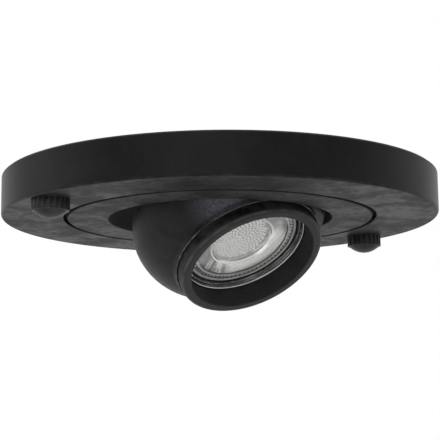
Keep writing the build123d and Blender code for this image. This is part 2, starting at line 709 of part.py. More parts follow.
# Head shell with the thread for the bezel, two pivot bosses and an open back
with BuildPart() as ball_shell:
    inner_radius = BALL_ARC_RADIUS - BALL_WALL
    inner_round = BALL_BACK_ROUND - BALL_WALL
    inner_back = ball_back + BALL_WALL
    inner_end = arc_angle(inner_back, inner_round)
    outer_end = -degrees(ball_back_angle)
    arc_centre = (ball_arc_out, BALL_ARC_FORWARD)
    back_centre = (ball_back_out, BALL_ARC_FORWARD)
    with BuildSketch(head_section):
        with BuildLine():
            outer_arc = CenterArc(arc_centre, BALL_ARC_RADIUS, 0, BALL_FRONT_ANGLE)
            outer_round = CenterArc(back_centre, BALL_BACK_ROUND, outer_end, -outer_end)
            inner_arc = CenterArc(arc_centre, inner_radius, 0, arc_angle(thread_end, inner_radius))
            inner_back_arc = CenterArc(back_centre, inner_round, inner_end, -inner_end)
            Polyline(
                outer_arc @ 1,
                (ball_front_radius, ball_front),
                (lip_radius, ball_front),
                (lip_radius, shadow_floor),
                (thread_radius, shadow_floor),
                (thread_radius, thread_end),
                inner_arc @ 1,
            )
            Polyline(
                inner_back_arc @ 0,
                (back_hole_radius, inner_back),
                (back_hole_radius, ball_back),
                outer_round @ 0,
            )
        make_face()
    revolve(axis=beam_axis)
    neck_edges = ball_shell.edges().filter_by(GeomType.CIRCLE)
    fillet(neck_edges.filter_by(lambda edge: abs(edge.radius - ball_neck_radius) < 0.01), BALL_NECK_ROUND)
    for side in SIDES:
        with BuildSketch(pivot_plane(side, boss_start)):
            Circle(PIVOT_BOSS_RADIUS)
        extrude(amount=boss_face - boss_start)
        with BuildSketch(pivot_plane(side, boss_start)):
            Circle(bush_outer + PRESS_PLAY)
        extrude(amount=boss_face - boss_start, mode=Mode.SUBTRACT)
    with BuildSketch(head_plane(ball_back)):
        with PolarLocations(sink_screw_circle, SINK_SCREW_COUNT, start_angle=SINK_SCREW_ANGLE):
            Circle(SINK_SCREW_RADIUS + PRESS_PLAY)
    extrude(amount=BALL_WALL, mode=Mode.SUBTRACT)
ball_shell.part.label = "ball_shell"
export_step(ball_shell.part, "parts/ball_shell.step")

# Bezel: the front ring, screwed into the head
with BuildPart() as bezel:
    with BuildSketch(head_section):
        with BuildLine():
            front_round = RadiusArc(
                (bezel_radius, bezel_front - BEZEL_ROUND),
                (bezel_radius - BEZEL_ROUND, bezel_front),
                -BEZEL_ROUND,
            )
            Polyline(
                front_round @ 1,
                (mouth_radius + MOUTH_CHAMFER, bezel_front),
                (mouth_radius, bezel_front - MOUTH_CHAMFER),
                (bore_radius, groove_front),
                (groove_radius, groove_front),
                (groove_radius, glass_front - SMALL_PLAY),
                (GLASS_RADIUS + GLASS_PLAY, glass_front - SMALL_PLAY),
                (GLASS_RADIUS + GLASS_PLAY, seat_front),
                (seat_radius, seat_front),
                (seat_radius, bezel_end),
                (spigot_radius, bezel_end),
                (spigot_radius, bezel_step),
                (bezel_radius, bezel_step),
                front_round @ 0,
            )
        make_face()
    revolve(axis=beam_axis)
bezel.part.label = "bezel"
export_step(bezel.part, "parts/bezel.step")

# Wire snap ring in front of the glass, open at its upper side
with BuildPart() as glass_ring:
    with BuildSketch(head_section):
        with Locations((wire_circle, wire_forward)):
            Circle(WIRE_RADIUS)
    revolve(axis=beam_axis)
    with BuildSketch(head_plane(glass_front)):
        with Locations((0, wire_circle)):
            Rectangle(WIRE_GAP, 8 * WIRE_RADIUS)
    extrude(amount=2 * WIRE_RADIUS, mode=Mode.SUBTRACT)
glass_ring.part.label = "glass_ring"
export_step(glass_ring.part, "parts/glass_ring.step")

# Clear front glass
with BuildPart() as front_glass:
    with BuildSketch(head_plane(glass_back)):
        Circle(GLASS_RADIUS)
    extrude(amount=GLASS_THICKNESS)
    chamfer(front_glass.edges(), GLASS_THICKNESS / 8)
front_glass.part.label = "front_glass"
export_step(front_glass.part, "parts/front_glass.step")

# Flat seal behind the glass
with BuildPart() as glass_seal:
    seal_inner = GLASS_RADIUS - SEAL_WIDTH
    revolve(band(head_section, seal_inner, GLASS_RADIUS, seat_front, glass_back), axis=beam_axis)
glass_seal.part.label = "glass_seal"
export_step(glass_seal.part, "parts/glass_seal.step")

# Optic: a clear cone with a flange, a sunk middle in front and a well for the light source
with BuildPart() as optic:
    with BuildSketch(head_section):
        with BuildLine():
            Polyline(
                (0, optic_middle),
                (OPTIC_MIDDLE_RADIUS, optic_middle),
                (OPTIC_MIDDLE_RADIUS + OPTIC_MIDDLE_DEPTH / 2, optic_front),
                (optic_radius, optic_front),
                (optic_radius, bezel_end),
                (optic_flange_radius, bezel_end),
                (optic_flange_radius, flange_back),
                (cone_top, flange_back),
                (optic_back_radius, optic_back),
                (well_radius, optic_back),
            )
            well = cap(well_radius, optic_back, OPTIC_WELL_DEPTH)
            Line(well @ 1, (0, optic_middle))
        make_face()
    revolve(axis=beam_axis)
optic.part.label = "optic"
export_step(optic.part, "parts/optic.step")

# Places of the small screws on the board
board_screw_points = [(side * board_screw_circle, 0) for side in SIDES]

# Cup that carries the optic
with BuildPart() as optic_holder:
    revolve(
        outline(
            head_section,
            (optic_back_radius + HOLDER_PLAY, board_front),
            (board_radius, board_front),
            (board_radius, foot_front),
            (neck_radius, foot_front),
            (neck_radius, neck_front),
            (optic_flange_radius, flange_back - HOLDER_RIM_HEIGHT),
            (optic_flange_radius, flange_back),
            (cone_top + HOLDER_PLAY, flange_back),
            (optic_back_radius + HOLDER_PLAY, optic_back),
        ),
        axis=beam_axis,
    )
    with BuildSketch(head_plane(board_front)):
        with Locations(*board_screw_points):
            Circle(BOARD_SCREW_RADIUS + SMALL_PLAY)
    extrude(amount=HOLDER_FOOT_THICKNESS, mode=Mode.SUBTRACT)
optic_holder.part.label = "optic_holder"
export_step(optic_holder.part, "parts/optic_holder.step")

# Light-emitting chip
with BuildPart() as led_chip:
    with BuildSketch(head_plane(board_front)):
        Circle(CHIP_RADIUS)
    extrude(amount=CHIP_THICKNESS)
led_chip.part.label = "led_chip"
export_step(led_chip.part, "parts/led_chip.step")

# Board under the chip
with BuildPart() as led_board:
    with BuildSketch(head_plane(board_back)):
        Circle(board_radius)
        with Locations(*board_screw_points):
            Circle(BOARD_SCREW_RADIUS + SMALL_PLAY, mode=Mode.SUBTRACT)
        with Locations((0, lead_offset)):
            Circle(LEAD_RADIUS, mode=Mode.SUBTRACT)
    extrude(amount=BOARD_THICKNESS)
led_board.part.label = "led_board"
export_step(led_board.part, "parts/led_board.step")

# Screws through the holder and the board into the heat sink
with BuildPart() as board_screws:
    with BuildSketch(head_plane(foot_front)):
        with Locations(*board_screw_points):
            Circle(BOARD_SCREW_HEAD_RADIUS)
    extrude(amount=BOARD_SCREW_HEAD_HEIGHT)
    with BuildSketch(head_plane(foot_front)):
        with Locations(*board_screw_points):
            Circle(BOARD_SCREW_RADIUS)
    extrude(amount=-BOARD_SCREW_LENGTH)
board_screws.part.label = "board_screws"
export_step(board_screws.part, "parts/board_screws.step")

# Heat sink: a slug inside the head, a flange on its back and short fins
with BuildPart() as heat_sink:
    revolve(
        outline(
            head_section,
            (0, sink_back),
            (sink_flange_radius, sink_back),
            (sink_flange_radius, gasket_back),
            (slug_radius, gasket_back),
            (slug_radius, board_back),
            (0, board_back),
        ),
        axis=beam_axis,
    )
    with BuildSketch(head_plane(sink_back)):
        with GridLocations(FIN_PITCH, 1, FIN_COUNT, 1):
            Rectangle(FIN_THICKNESS, 2 * fin_radius)
        Circle(fin_radius, mode=Mode.INTERSECT)
        with Locations((0, lead_offset)):
            Circle(GROMMET_FLANGE_RADIUS + GROMMET_POCKET_PLAY, mode=Mode.SUBTRACT)
    extrude(amount=-FIN_HEIGHT)
    with BuildSketch(head_plane(sink_back)):
        with Locations((0, lead_offset)):
            Circle(LEAD_HOLE_RADIUS)
    extrude(amount=board_back - sink_back, mode=Mode.SUBTRACT)
    with BuildSketch(head_plane(sink_back)):
        with PolarLocations(sink_screw_circle, SINK_SCREW_COUNT, start_angle=SINK_SCREW_ANGLE):
            Circle(SINK_SCREW_RADIUS + SMALL_PLAY)
    extrude(amount=SINK_FLANGE_THICKNESS, mode=Mode.SUBTRACT)
    with BuildSketch(head_plane(board_back)):
        with Locations(*board_screw_points):
            Circle(BOARD_SCREW_RADIUS + PRESS_PLAY)
    extrude(amount=-BOARD_SCREW_LENGTH, mode=Mode.SUBTRACT)
heat_sink.part.label = "heat_sink"
export_step(heat_sink.part, "parts/heat_sink.step")

# Screws that hold the heat sink to the head
with BuildPart() as heat_sink_screws:
    with BuildSketch(head_plane(sink_back)):
        with PolarLocations(sink_screw_circle, SINK_SCREW_COUNT, start_angle=SINK_SCREW_ANGLE):
            Circle(SINK_SCREW_HEAD_RADIUS)
    extrude(amount=-SINK_SCREW_HEAD_HEIGHT)
    with BuildSketch(head_plane(sink_back)):
        with PolarLocations(sink_screw_circle, SINK_SCREW_COUNT, start_angle=SINK_SCREW_ANGLE):
            Circle(SINK_SCREW_RADIUS)
    extrude(amount=ball_back + BALL_WALL - sink_back)
heat_sink_screws.part.label = "heat_sink_screws"
export_step(heat_sink_screws.part, "parts/heat_sink_screws.step")

# Seal between the head and the heat sink
with BuildPart() as back_gasket:
    with BuildSketch(head_plane(gasket_back)):
        Circle(sink_flange_radius)
        Circle(slug_radius + SMALL_PLAY, mode=Mode.SUBTRACT)
        with PolarLocations(sink_screw_circle, SINK_SCREW_COUNT, start_angle=SINK_SCREW_ANGLE):
            Circle(SINK_SCREW_RADIUS + SMALL_PLAY, mode=Mode.SUBTRACT)
    extrude(amount=BACK_GASKET_THICKNESS)
back_gasket.part.label = "back_gasket"
export_step(back_gasket.part, "parts/back_gasket.step")

# Grommet where the lead of the head comes out
with BuildPart() as lead_grommet:
    with BuildSketch(head_plane(sink_back)):
        with Locations((0, lead_offset)):
            Circle(GROMMET_FLANGE_RADIUS)
            Circle(LEAD_RADIUS, mode=Mode.SUBTRACT)
    extrude(amount=-GROMMET_FLANGE_THICKNESS)
    with BuildSketch(head_plane(sink_back)):
        with Locations((0, lead_offset)):
            Circle(LEAD_HOLE_RADIUS - PRESS_PLAY)
            Circle(LEAD_RADIUS, mode=Mode.SUBTRACT)
    extrude(amount=GROMMET_LENGTH)
lead_grommet.part.label = "lead_grommet"
export_step(lead_grommet.part, "parts/lead_grommet.step")
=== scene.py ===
import json
import logging
import math
from collections.abc import Callable
from dataclasses import dataclass
from enum import Enum, IntEnum

import bmesh
import bpy
from mathutils import Matrix, Vector


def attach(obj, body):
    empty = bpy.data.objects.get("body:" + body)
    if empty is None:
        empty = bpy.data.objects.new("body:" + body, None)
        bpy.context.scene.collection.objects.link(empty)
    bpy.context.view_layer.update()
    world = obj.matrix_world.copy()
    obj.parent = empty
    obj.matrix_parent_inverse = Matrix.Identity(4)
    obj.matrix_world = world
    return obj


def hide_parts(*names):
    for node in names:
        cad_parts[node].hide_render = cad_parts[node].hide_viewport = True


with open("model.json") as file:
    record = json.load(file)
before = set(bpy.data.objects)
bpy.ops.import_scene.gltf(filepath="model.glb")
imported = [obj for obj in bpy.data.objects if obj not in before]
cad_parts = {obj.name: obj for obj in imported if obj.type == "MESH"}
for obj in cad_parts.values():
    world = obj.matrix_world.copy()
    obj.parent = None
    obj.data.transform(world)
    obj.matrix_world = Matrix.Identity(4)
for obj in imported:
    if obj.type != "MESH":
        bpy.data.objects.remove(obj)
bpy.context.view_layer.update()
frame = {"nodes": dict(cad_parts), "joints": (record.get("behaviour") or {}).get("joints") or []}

LOG = logging.getLogger("spotlight")
MM = 0.001

Place = tuple[float, float, float]
Colour = tuple[float, float, float]
Rings = list[tuple[float, float]]
Piece = bpy.types.Object
Tree = bpy.types.NodeTree
Socket = bpy.types.NodeSocket
Inputs = bpy.types.NodeInputs
Outputs = bpy.types.NodeOutputs
Feed = Socket | float | tuple[float, ...]


class Effect(Enum):
    """Surface effects that several finishes share."""

    CLOUDS = "clouded_coat"
    GRAIN = "fine_grain"
    SPECKS = "dust_specks"
    WEAR = "rim_wear"
    STREAKS = "turned_streaks"


class NodeGraph:
    """Adds nodes to one node tree and joins them."""

    def __init__(self, tree: Tree) -> None:
        """Keeps the tree that the nodes go into."""
        self.tree = tree

    def feed(self, socket: Socket, value: Feed) -> None:
        """Joins a socket to another one, or sets its plain value.

        Args:
            socket: The socket that is fed.
            value: Another socket, a number, a vector or a colour.
        """
        if isinstance(value, Socket):
            self.tree.links.new(value, socket)
        elif socket.type == "RGBA":
            socket.default_value = (*value, 1.0)
        else:
            socket.default_value = value

    def node(self, kind: str, inputs: dict[str | int, Feed], **options: object) -> Outputs:
        """Adds one node.

        Args:
            kind: The node's type.
            inputs: What each named or numbered input is fed with.
            options: The node's own settings.

        Returns:
            The new node's outputs.
        """
        made = self.tree.nodes.new(kind)
        for name, value in options.items():
            setattr(made, name, value)
        for key, value in inputs.items():
            self.feed(made.inputs[key], value)
        return made.outputs

    def math(self, operation: str, first: Feed, second: Feed = 0.0) -> Socket:
        """Works out one number from two by the named operation."""
        return self.node("ShaderNodeMath", {0: first, 1: second}, operation=operation)[0]

    def times(self, first: Feed, second: Feed) -> Socket:
        """Multiplies two numbers."""
        return self.math("MULTIPLY", first, second)

    def mean(self, first: Feed, second: Feed, share: float) -> Socket:
        """Averages two numbers, of which the second counts by its share."""
        return self.math("ADD", self.times(first, 1.0 - share), self.times(second, share))

    def spread(self, value: Feed, low: float, high: float, start: Feed = 0.0, end: Feed = 1.0) -> Socket:
        """Carries a number smoothly from the span low to high over to the span start to end."""
        inputs = {"Value": value, "From Min": low, "From Max": high, "To Min": start, "To Max": end}
        return self.node("ShaderNodeMapRange", inputs, interpolation_type="SMOOTHSTEP")[0]

    def blend(self, share: Feed, first: Feed, second: Feed) -> Socket:
        """Mixes two colours, of which the second shows by its share."""
        return self.node("ShaderNodeMix", {0: share, 6: first, 7: second}, data_type="RGBA")[2]

    def noise(self, place: Feed, scale: Feed, detail: float = 2.0, twist: float = 0.0) -> Socket:
        """Adds a soft random pattern with so many blotches in a metre, finer layers and twist."""
        inputs = {"Vector": place, "Scale": scale, "Detail": detail, "Distortion": twist}
        return self.node("ShaderNodeTexNoise", inputs)["Fac"]

    def apart(self, vector: Feed) -> Outputs:
        """Takes a vector apart into X, Y and Z."""
        return self.node("ShaderNodeSeparateXYZ", {0: vector})

    def joined(self, x: Feed, y: Feed, z: Feed = 0.0) -> Socket:
        """Puts a vector together from X, Y and Z."""
        return self.node("ShaderNodeCombineXYZ", {0: x, 1: y, 2: z})[0]

    def length(self, x: Feed, y: Feed) -> Socket:
        """Gives the length of a flat vector."""
        return self.node("ShaderNodeVectorMath", {0: self.joined(x, y)}, operation="LENGTH")["Value"]

    def effect(self, effect: Effect, place: Feed, **sizes: float) -> Outputs:
        """Places a shared effect on the surface with its sizes there, and gives its outputs."""
        group = EffectGroup.tree_of(effect)
        return self.node("ShaderNodeGroup", {"Vector": place, **sizes}, node_tree=group)


class EffectGroup(NodeGraph):
    """The node group of one shared effect, built on first use."""

    @classmethod
    def tree_of(cls, effect: Effect) -> Tree:
        """Gives an effect's node group.

        Args:
            effect: Which effect.

        Returns:
            The group, made if it isn't there yet.
        """
        found = bpy.data.node_groups.get(effect.value)
        if found is not None:
            return found
        group = cls(bpy.data.node_groups.new(effect.value, "ShaderNodeTree"))
        builders = {
            Effect.CLOUDS: group.clouds,
            Effect.GRAIN: group.grain,
            Effect.SPECKS: group.specks,
            Effect.WEAR: group.wear_and_light_band,
            Effect.STREAKS: group.streaks,
        }
        builders[effect]()
        return group.tree

    def add_sockets(self, inputs: tuple[str, ...], outputs: tuple[str, ...]) -> tuple[Outputs, Inputs]:
        """Gives the group its sockets.

        Args:
            inputs: The names of its sizes, which come after the place on the surface.
            outputs: The names of its outputs.

        Returns:
            The group's inputs and the sockets that its outputs are fed by.
        """
        sockets = self.tree.interface
        sockets.new_socket(name="Vector", in_out="INPUT", socket_type="NodeSocketVector")
        for side, names in (("INPUT", inputs), ("OUTPUT", outputs)):
            for name in names:
                sockets.new_socket(name=name, in_out=side, socket_type="NodeSocketFloat")
        given = self.tree.nodes.new("NodeGroupInput").outputs
        return given, self.tree.nodes.new("NodeGroupOutput").inputs

    def clouds(self) -> None:
        """Soft smudges with finer ones inside them, and thin wandering lines."""
        finer = 5.3
        finer_share = 0.38
        line_tone = 0.47
        line_width = 0.012
        line_groups = 0.45
        given, taken = self.add_sockets(("Size",), ("Marks", "Lines"))
        scale = self.math("DIVIDE", 1.0, given["Size"])
        broad = self.noise(given["Vector"], scale, detail=4.0, twist=0.6)
        close = self.noise(given["Vector"], self.times(scale, finer), detail=5.0, twist=0.3)
        both = self.mean(broad, close, finer_share)
        self.feed(taken["Marks"], self.spread(both, low=0.34, high=0.68))
        off = self.math("ABSOLUTE", self.math("SUBTRACT", broad, line_tone))
        line = self.spread(off, 0.0, line_width, 1.0, 0.0)
        here = self.noise(given["Vector"], self.times(scale, line_groups), detail=1.0)
        self.feed(taken["Lines"], self.times(line, self.spread(here, low=0.5, high=0.62)))

    def grain(self) -> None:
        """Fine even roughness of a coat or a casting."""
        given, taken = self.add_sockets(("Size",), ("Height",))
        scale = self.math("DIVIDE", 1.0, given["Size"])
        self.feed(taken["Height"], self.noise(given["Vector"], scale))

    def specks(self) -> None:
        """Small scattered specks of dust of different sizes."""
        bare_share = 0.45
        softness = 0.03
        given, taken = self.add_sockets(("Spacing", "Width"), ("Mask",))
        scale = self.math("DIVIDE", 1.0, given["Spacing"])
        cells = self.node("ShaderNodeTexVoronoi", {"Vector": given["Vector"], "Scale": scale})
        chance = self.apart(cells["Color"])[0]
        reach = self.times(given["Width"], self.spread(chance, bare_share, 1.0))
        inside = self.math("SUBTRACT", reach, cells["Distance"])
        self.feed(taken["Mask"], self.spread(inside, 0.0, softness))

    def wear_and_light_band(self) -> None:
        """Broken band along a round edge about the Z axis, for worn edges and for painted highlights, shade
        and reflections.
        """
        breaks = 260.0
        least = 0.15
        given, taken = self.add_sockets(("Radius", "Height", "Width"), ("Mask",))
        place = self.apart(given["Vector"])
        across = self.math("SUBTRACT", self.length(place[0], place[1]), given["Radius"])
        along = self.math("SUBTRACT", place[2], given["Height"])
        share = self.math("DIVIDE", self.length(across, along), given["Width"])
        edge = self.spread(share, 0.0, 1.0, 1.0, 0.0)
        patchy = self.noise(given["Vector"], breaks, detail=4.0, twist=0.2)
        self.feed(taken["Mask"], self.times(edge, self.spread(patchy, low=0.36, high=0.66, start=least)))

    def streaks(self) -> None:
        """Fine streaks that run round the Z axis, as turning leaves them."""
        changes_around = 2.0
        given, taken = self.add_sockets(("Size",), ("Streaks",))
        place = self.apart(given["Vector"])
        scale = self.math("DIVIDE", 1.0, given["Size"])
        outward = self.times(self.length(place[0], place[1]), scale)
        around = self.times(self.math("ARCTAN2", place[1], place[0]), changes_around)
        turned = self.joined(outward, around, self.times(place[2], scale))
        self.feed(taken["Streaks"], self.noise(turned, 1.0, detail=3.0))


@dataclass(frozen=True)
class PatternAxis:
    """Where a pattern's own Z axis stands, how far it leans about X, and the pattern's turn about it."""

    place: Place = (0.0, 0.0, 0.0)
    lean: float = 0.0
    turn: float = 0.0


@dataclass(frozen=True)
class EdgeWearAndPaintedLight:
    """A band along a round edge at a height along its axis, with its width and colour, for worn edges and
    for painted highlights, shade and reflections.
    """

    radius: float
    height: float
    width: float
    colour: Colour


@dataclass(frozen=True)
class DustAndHighlightPatch:
    """A round speckled patch, whose place is as seen from the pattern's axis, for fine dust and for painted
    highlights and reflections.
    """

    place: Place
    reach: float
    colour: Colour


class SurfaceGraph(NodeGraph):
    """Adds nodes to one material and feeds its surface shader."""

    def show(self, name: str, value: Feed) -> None:
        """Feeds one input of the surface shader."""
        self.feed(self.tree.nodes["Principled BSDF"].inputs[name], value)

    def rough_up(self, height: Feed, depth: float) -> None:
        """Lets a pattern stand proud of the surface by a depth in metres."""
        bump = {"Height": height, "Distance": depth, "Strength": 1.0}
        self.show("Normal", self.node("ShaderNodeBump", bump)[0])

    def seen_from(self, axis: PatternAxis) -> Socket:
        """Gives the surface's places as seen from an axis.

        Args:
            axis: The axis.

        Returns:
            The places, with the axis as their Z axis.
        """
        spot = self.node("ShaderNodeTexCoord", {})["Object"]
        inputs = {"Vector": spot, "Location": axis.place, "Rotation": (axis.lean, 0.0, axis.turn)}
        return self.node("ShaderNodeMapping", inputs, vector_type="TEXTURE")[0]

    def rub_and_light_edges(self, place: Feed, colour: Feed, edges: tuple[EdgeWearAndPaintedLight, ...]) -> Feed:
        """Paints other colours along bands of worn edges and of painted highlights, shade and reflections.

        Args:
            place: Where on the surface.
            colour: The colour away from the edges.
            edges: The bands of worn edges and of painted light.

        Returns:
            The colour with the edges in it.
        """
        # Each band paints its colour along an edge: worn places, painted highlights, painted shade and
        # painted reflections.
        for edge in edges:
            wear_and_light_band = self.effect(Effect.WEAR, place, Radius=edge.radius, Height=edge.height, Width=edge.width)
            colour = self.blend(wear_and_light_band["Mask"], colour, edge.colour)
        return colour

    def dust_and_highlight_over(self, place: Feed, colour: Feed, patches: tuple[DustAndHighlightPatch, ...]) -> Feed:
        """Paints speckled patches on the surface, of fine dust and of painted highlights and reflections.

        Args:
            place: Where on the surface.
            colour: The colour without dust.
            patches: The patches of dust and of painted light.

        Returns:
            The colour with the patches on it.
        """
        full_share = 0.25
        grains = 1300.0
        least = 0.45
        for patch in patches:
            away = self.node("ShaderNodeVectorMath", {0: place, 1: patch.place}, operation="DISTANCE")
            near = self.spread(away["Value"], full_share * patch.reach, patch.reach, 1.0, 0.0)
            fine = self.spread(self.noise(place, grains, detail=4.0), low=0.35, high=0.7, start=least)
            colour = self.blend(self.times(near, fine), colour, patch.colour)
        return colour


@dataclass(frozen=True)
class Finish:
    """A surface finish, whose material bears its name and is made on first use."""

    name: str

    def material(self) -> bpy.types.Material:
        """Gives the finish's material.

        Returns:
            The material, made if it isn't there yet.
        """
        found = bpy.data.materials.get(self.name)
        if found is not None:
            return found
        made = bpy.data.materials.new(self.name)
        made.use_nodes = True
        self.paint(SurfaceGraph(made.node_tree))
        return made

    def paint(self, graph: SurfaceGraph) -> None:
        """Fills in the material's nodes."""
        raise NotImplementedError


@dataclass(frozen=True)
class Moulding(Finish):
    """Plastic, rubber, fibre, phosphor or paint of two shades with a fine grain.

    The sheen is the roughness of the dark and of the pale shade, the gloss is the strength of its
    reflection, and the patch is the size of the shades. The bands of worn edges and of painted light run
    round the axis.
    """

    dark: Colour
    pale: Colour
    sheen: tuple[float, float]
    gloss: float = 0.5
    patch: float = 4.0 * MM
    grain: float = 0.3 * MM
    depth: float = 0.03 * MM
    axis: PatternAxis = PatternAxis()
    edges: tuple[EdgeWearAndPaintedLight, ...] = ()

    def paint(self, graph: SurfaceGraph) -> None:
        """Fills in the shades, the bands of worn edges and painted light, and the grain.

        Args:
            graph: The material's nodes.
        """
        place = graph.seen_from(self.axis)
        colour, rough = self.shade(graph, place, graph.effect(Effect.CLOUDS, place, Size=self.patch))
        graph.show("Base Color", graph.rub_and_light_edges(place, colour, self.edges))
        graph.show("Roughness", rough)
        graph.show("Specular IOR Level", self.gloss)
        graph.rough_up(graph.effect(Effect.GRAIN, place, Size=self.grain)["Height"], self.depth)

    def shade(self, graph: SurfaceGraph, place: Socket, clouds: Outputs) -> tuple[Feed, Feed]:
        """Gives the colour and the roughness away from the edges."""
        marks = clouds["Marks"]
        return graph.blend(marks, self.dark, self.pale), graph.spread(marks, 0.0, 1.0, *self.sheen)


@dataclass(frozen=True)
class BlackCoat(Moulding):
    """Black coat on metal, clouded by handling, with fine lines and dust.

    The dust is the width of its specks, as a share of their spacing, and the patches hold dust and a painted
    reflection. Where the height of a face is given, the clouds fade out just above it, and the side is the
    roughness there.
    """

    patch: float = 12.0 * MM
    grain: float = 0.5 * MM
    depth: float = 0.02 * MM
    dust: float = 0.1
    patches: tuple[DustAndHighlightPatch, ...] = ()
    face: float | None = None
    side: float = 0.7

    def shade(self, graph: SurfaceGraph, place: Socket, clouds: Outputs) -> tuple[Feed, Feed]:
        """Gives the colour and the roughness away from the edges.

        Args:
            graph: The material's nodes.
            place: Where on the surface.
            clouds: The clouds and lines there.

        Returns:
            The clouded, lined and dusty colour with its patches of dust and painted reflection, and the
            roughness.
        """
        line_strength = 0.7
        speck_strength = 0.8
        speck_spacing = 9.0 * MM
        least_marks = 0.1
        fade_start = -0.2 * MM
        fade_end = 0.3 * MM
        marks = clouds["Marks"]
        lines = clouds["Lines"]
        rough = graph.spread(marks, 0.0, 1.0, *self.sheen)
        if self.face is not None:
            height = graph.apart(place)[2]
            flat = graph.spread(height, self.face + fade_start, self.face + fade_end, 1.0, 0.0)
            marks = graph.times(marks, graph.math("MAXIMUM", flat, least_marks))
            lines = graph.times(lines, flat)
            rough = graph.spread(flat, 0.0, 1.0, self.side, rough)
        colour = graph.blend(marks, self.dark, self.pale)
        colour = graph.blend(graph.times(lines, line_strength), colour, self.dark)
        specks = graph.effect(Effect.SPECKS, place, Spacing=speck_spacing, Width=self.dust)["Mask"]
        colour = graph.blend(graph.times(specks, speck_strength), colour, self.dark)
        return graph.dust_and_highlight_over(place, colour, self.patches), rough


@dataclass(frozen=True)
class BareMetal(Finish):
    """Uncoated metal with turning streaks and dull patches.

    The sheen is the roughness of the bright and of the dull metal. The streaks run round the axis, and where
    there is a thread, its pitch runs along it.
    """

    bright: Colour
    dull: Colour
    sheen: tuple[float, float]
    streak: float = 0.4 * MM
    axis: PatternAxis = PatternAxis()
    pitch: float = 0.0

    def paint(self, graph: SurfaceGraph) -> None:
        """Fills in the metal's streaks, patches and thread.

        Args:
            graph: The material's nodes.
        """
        patch = 6.0 * MM
        patch_share = 0.5
        streak_depth = 0.01 * MM
        thread_depth = 0.18 * self.pitch
        place = graph.seen_from(self.axis)
        streaks = graph.effect(Effect.STREAKS, place, Size=self.streak)["Streaks"]
        clouds = graph.effect(Effect.CLOUDS, place, Size=patch)["Marks"]
        both = graph.mean(streaks, clouds, patch_share)
        graph.show("Base Color", graph.blend(both, self.bright, self.dull))
        graph.show("Roughness", graph.spread(both, 0.1, 0.9, *self.sheen))
        graph.show("Metallic", 1.0)
        if self.pitch:
            turn = graph.times(graph.apart(place)[2], math.tau / self.pitch)
            graph.rough_up(graph.math("SINE", turn), thread_depth)
        else:
            graph.rough_up(streaks, streak_depth)


@dataclass(frozen=True)
class ClearPane(Finish):
    """Clear glass or plastic with faint wiping marks.

    The bend says how strongly it bends light, the sheen is the roughness of its clean and of its wiped
    places, and clear says how much light goes through.
    """

    tint: Colour
    bend: float
    sheen: tuple[float, float]
    clear: float
    axis: PatternAxis
    patches: tuple[DustAndHighlightPatch, ...] = ()

    def paint(self, graph: SurfaceGraph) -> None:
        """Fills in the pane's wiping marks, which go halfway to white.

        Args:
            graph: The material's nodes.
        """
        mark = 11.0 * MM
        halfway = 0.5
        place = graph.seen_from(self.axis)
        marks = graph.effect(Effect.CLOUDS, place, Size=mark)["Marks"]
        paler = tuple(halfway + (1.0 - halfway) * part for part in self.tint)
        colour = graph.blend(marks, self.tint, paler)
        graph.show("Base Color", graph.dust_and_highlight_over(place, colour, self.patches))
        graph.show("Roughness", graph.spread(marks, 0.0, 1.0, *self.sheen))
        graph.show("Transmission Weight", self.clear)
        graph.show("IOR", self.bend)


@dataclass(frozen=True)
class SilverBack(Finish):
    """Silvered surface of the lens, with uneven streaks that run outwards: painted reflections of its
    facets.

    The count says how many streaks would fit round it. They are strongest at the side, an angle about the
    axis, start and are full at the window's cosines from there, and have their least strength on the far
    side. The sheen is the roughness of the plain silver and of the streaks.
    """

    plain: Colour
    streak: Colour
    count: int
    side: float
    window: tuple[float, float]
    least: float
    sheen: tuple[float, float]
    axis: PatternAxis

    def paint(self, graph: SurfaceGraph) -> None:
        """Fills in the silver and its streaks of painted reflection.

        Args:
            graph: The material's nodes.
        """
        depth = 0.09 * MM
        changes_outward = 60.0
        parts = graph.apart(graph.seen_from(self.axis))
        angle = graph.math("ARCTAN2", parts[1], parts[0])
        outward = graph.times(graph.length(parts[0], parts[1]), changes_outward)
        spot = graph.joined(graph.times(angle, self.count / math.tau), outward)
        tone = graph.spread(graph.noise(spot, 1.0), low=0.36, high=0.64)
        # The streaks are painted reflections, strongest on one side of the lens.
        facing = graph.math("COSINE", graph.math("SUBTRACT", angle, self.side))
        reflecting_side = graph.spread(facing, *self.window, self.least)
        shade = graph.times(reflecting_side, graph.math("SUBTRACT", 1.0, tone))
        graph.show("Base Color", graph.blend(shade, self.plain, self.streak))
        graph.show("Roughness", graph.spread(shade, 0.0, 1.0, *self.sheen))
        graph.show("Metallic", 1.0)
        graph.rough_up(graph.times(tone, reflecting_side), depth)


class MeshPart(Enum):
    """What can be selected on a piece in edit mode."""

    POINTS = "VERT"
    FACES = "FACE"


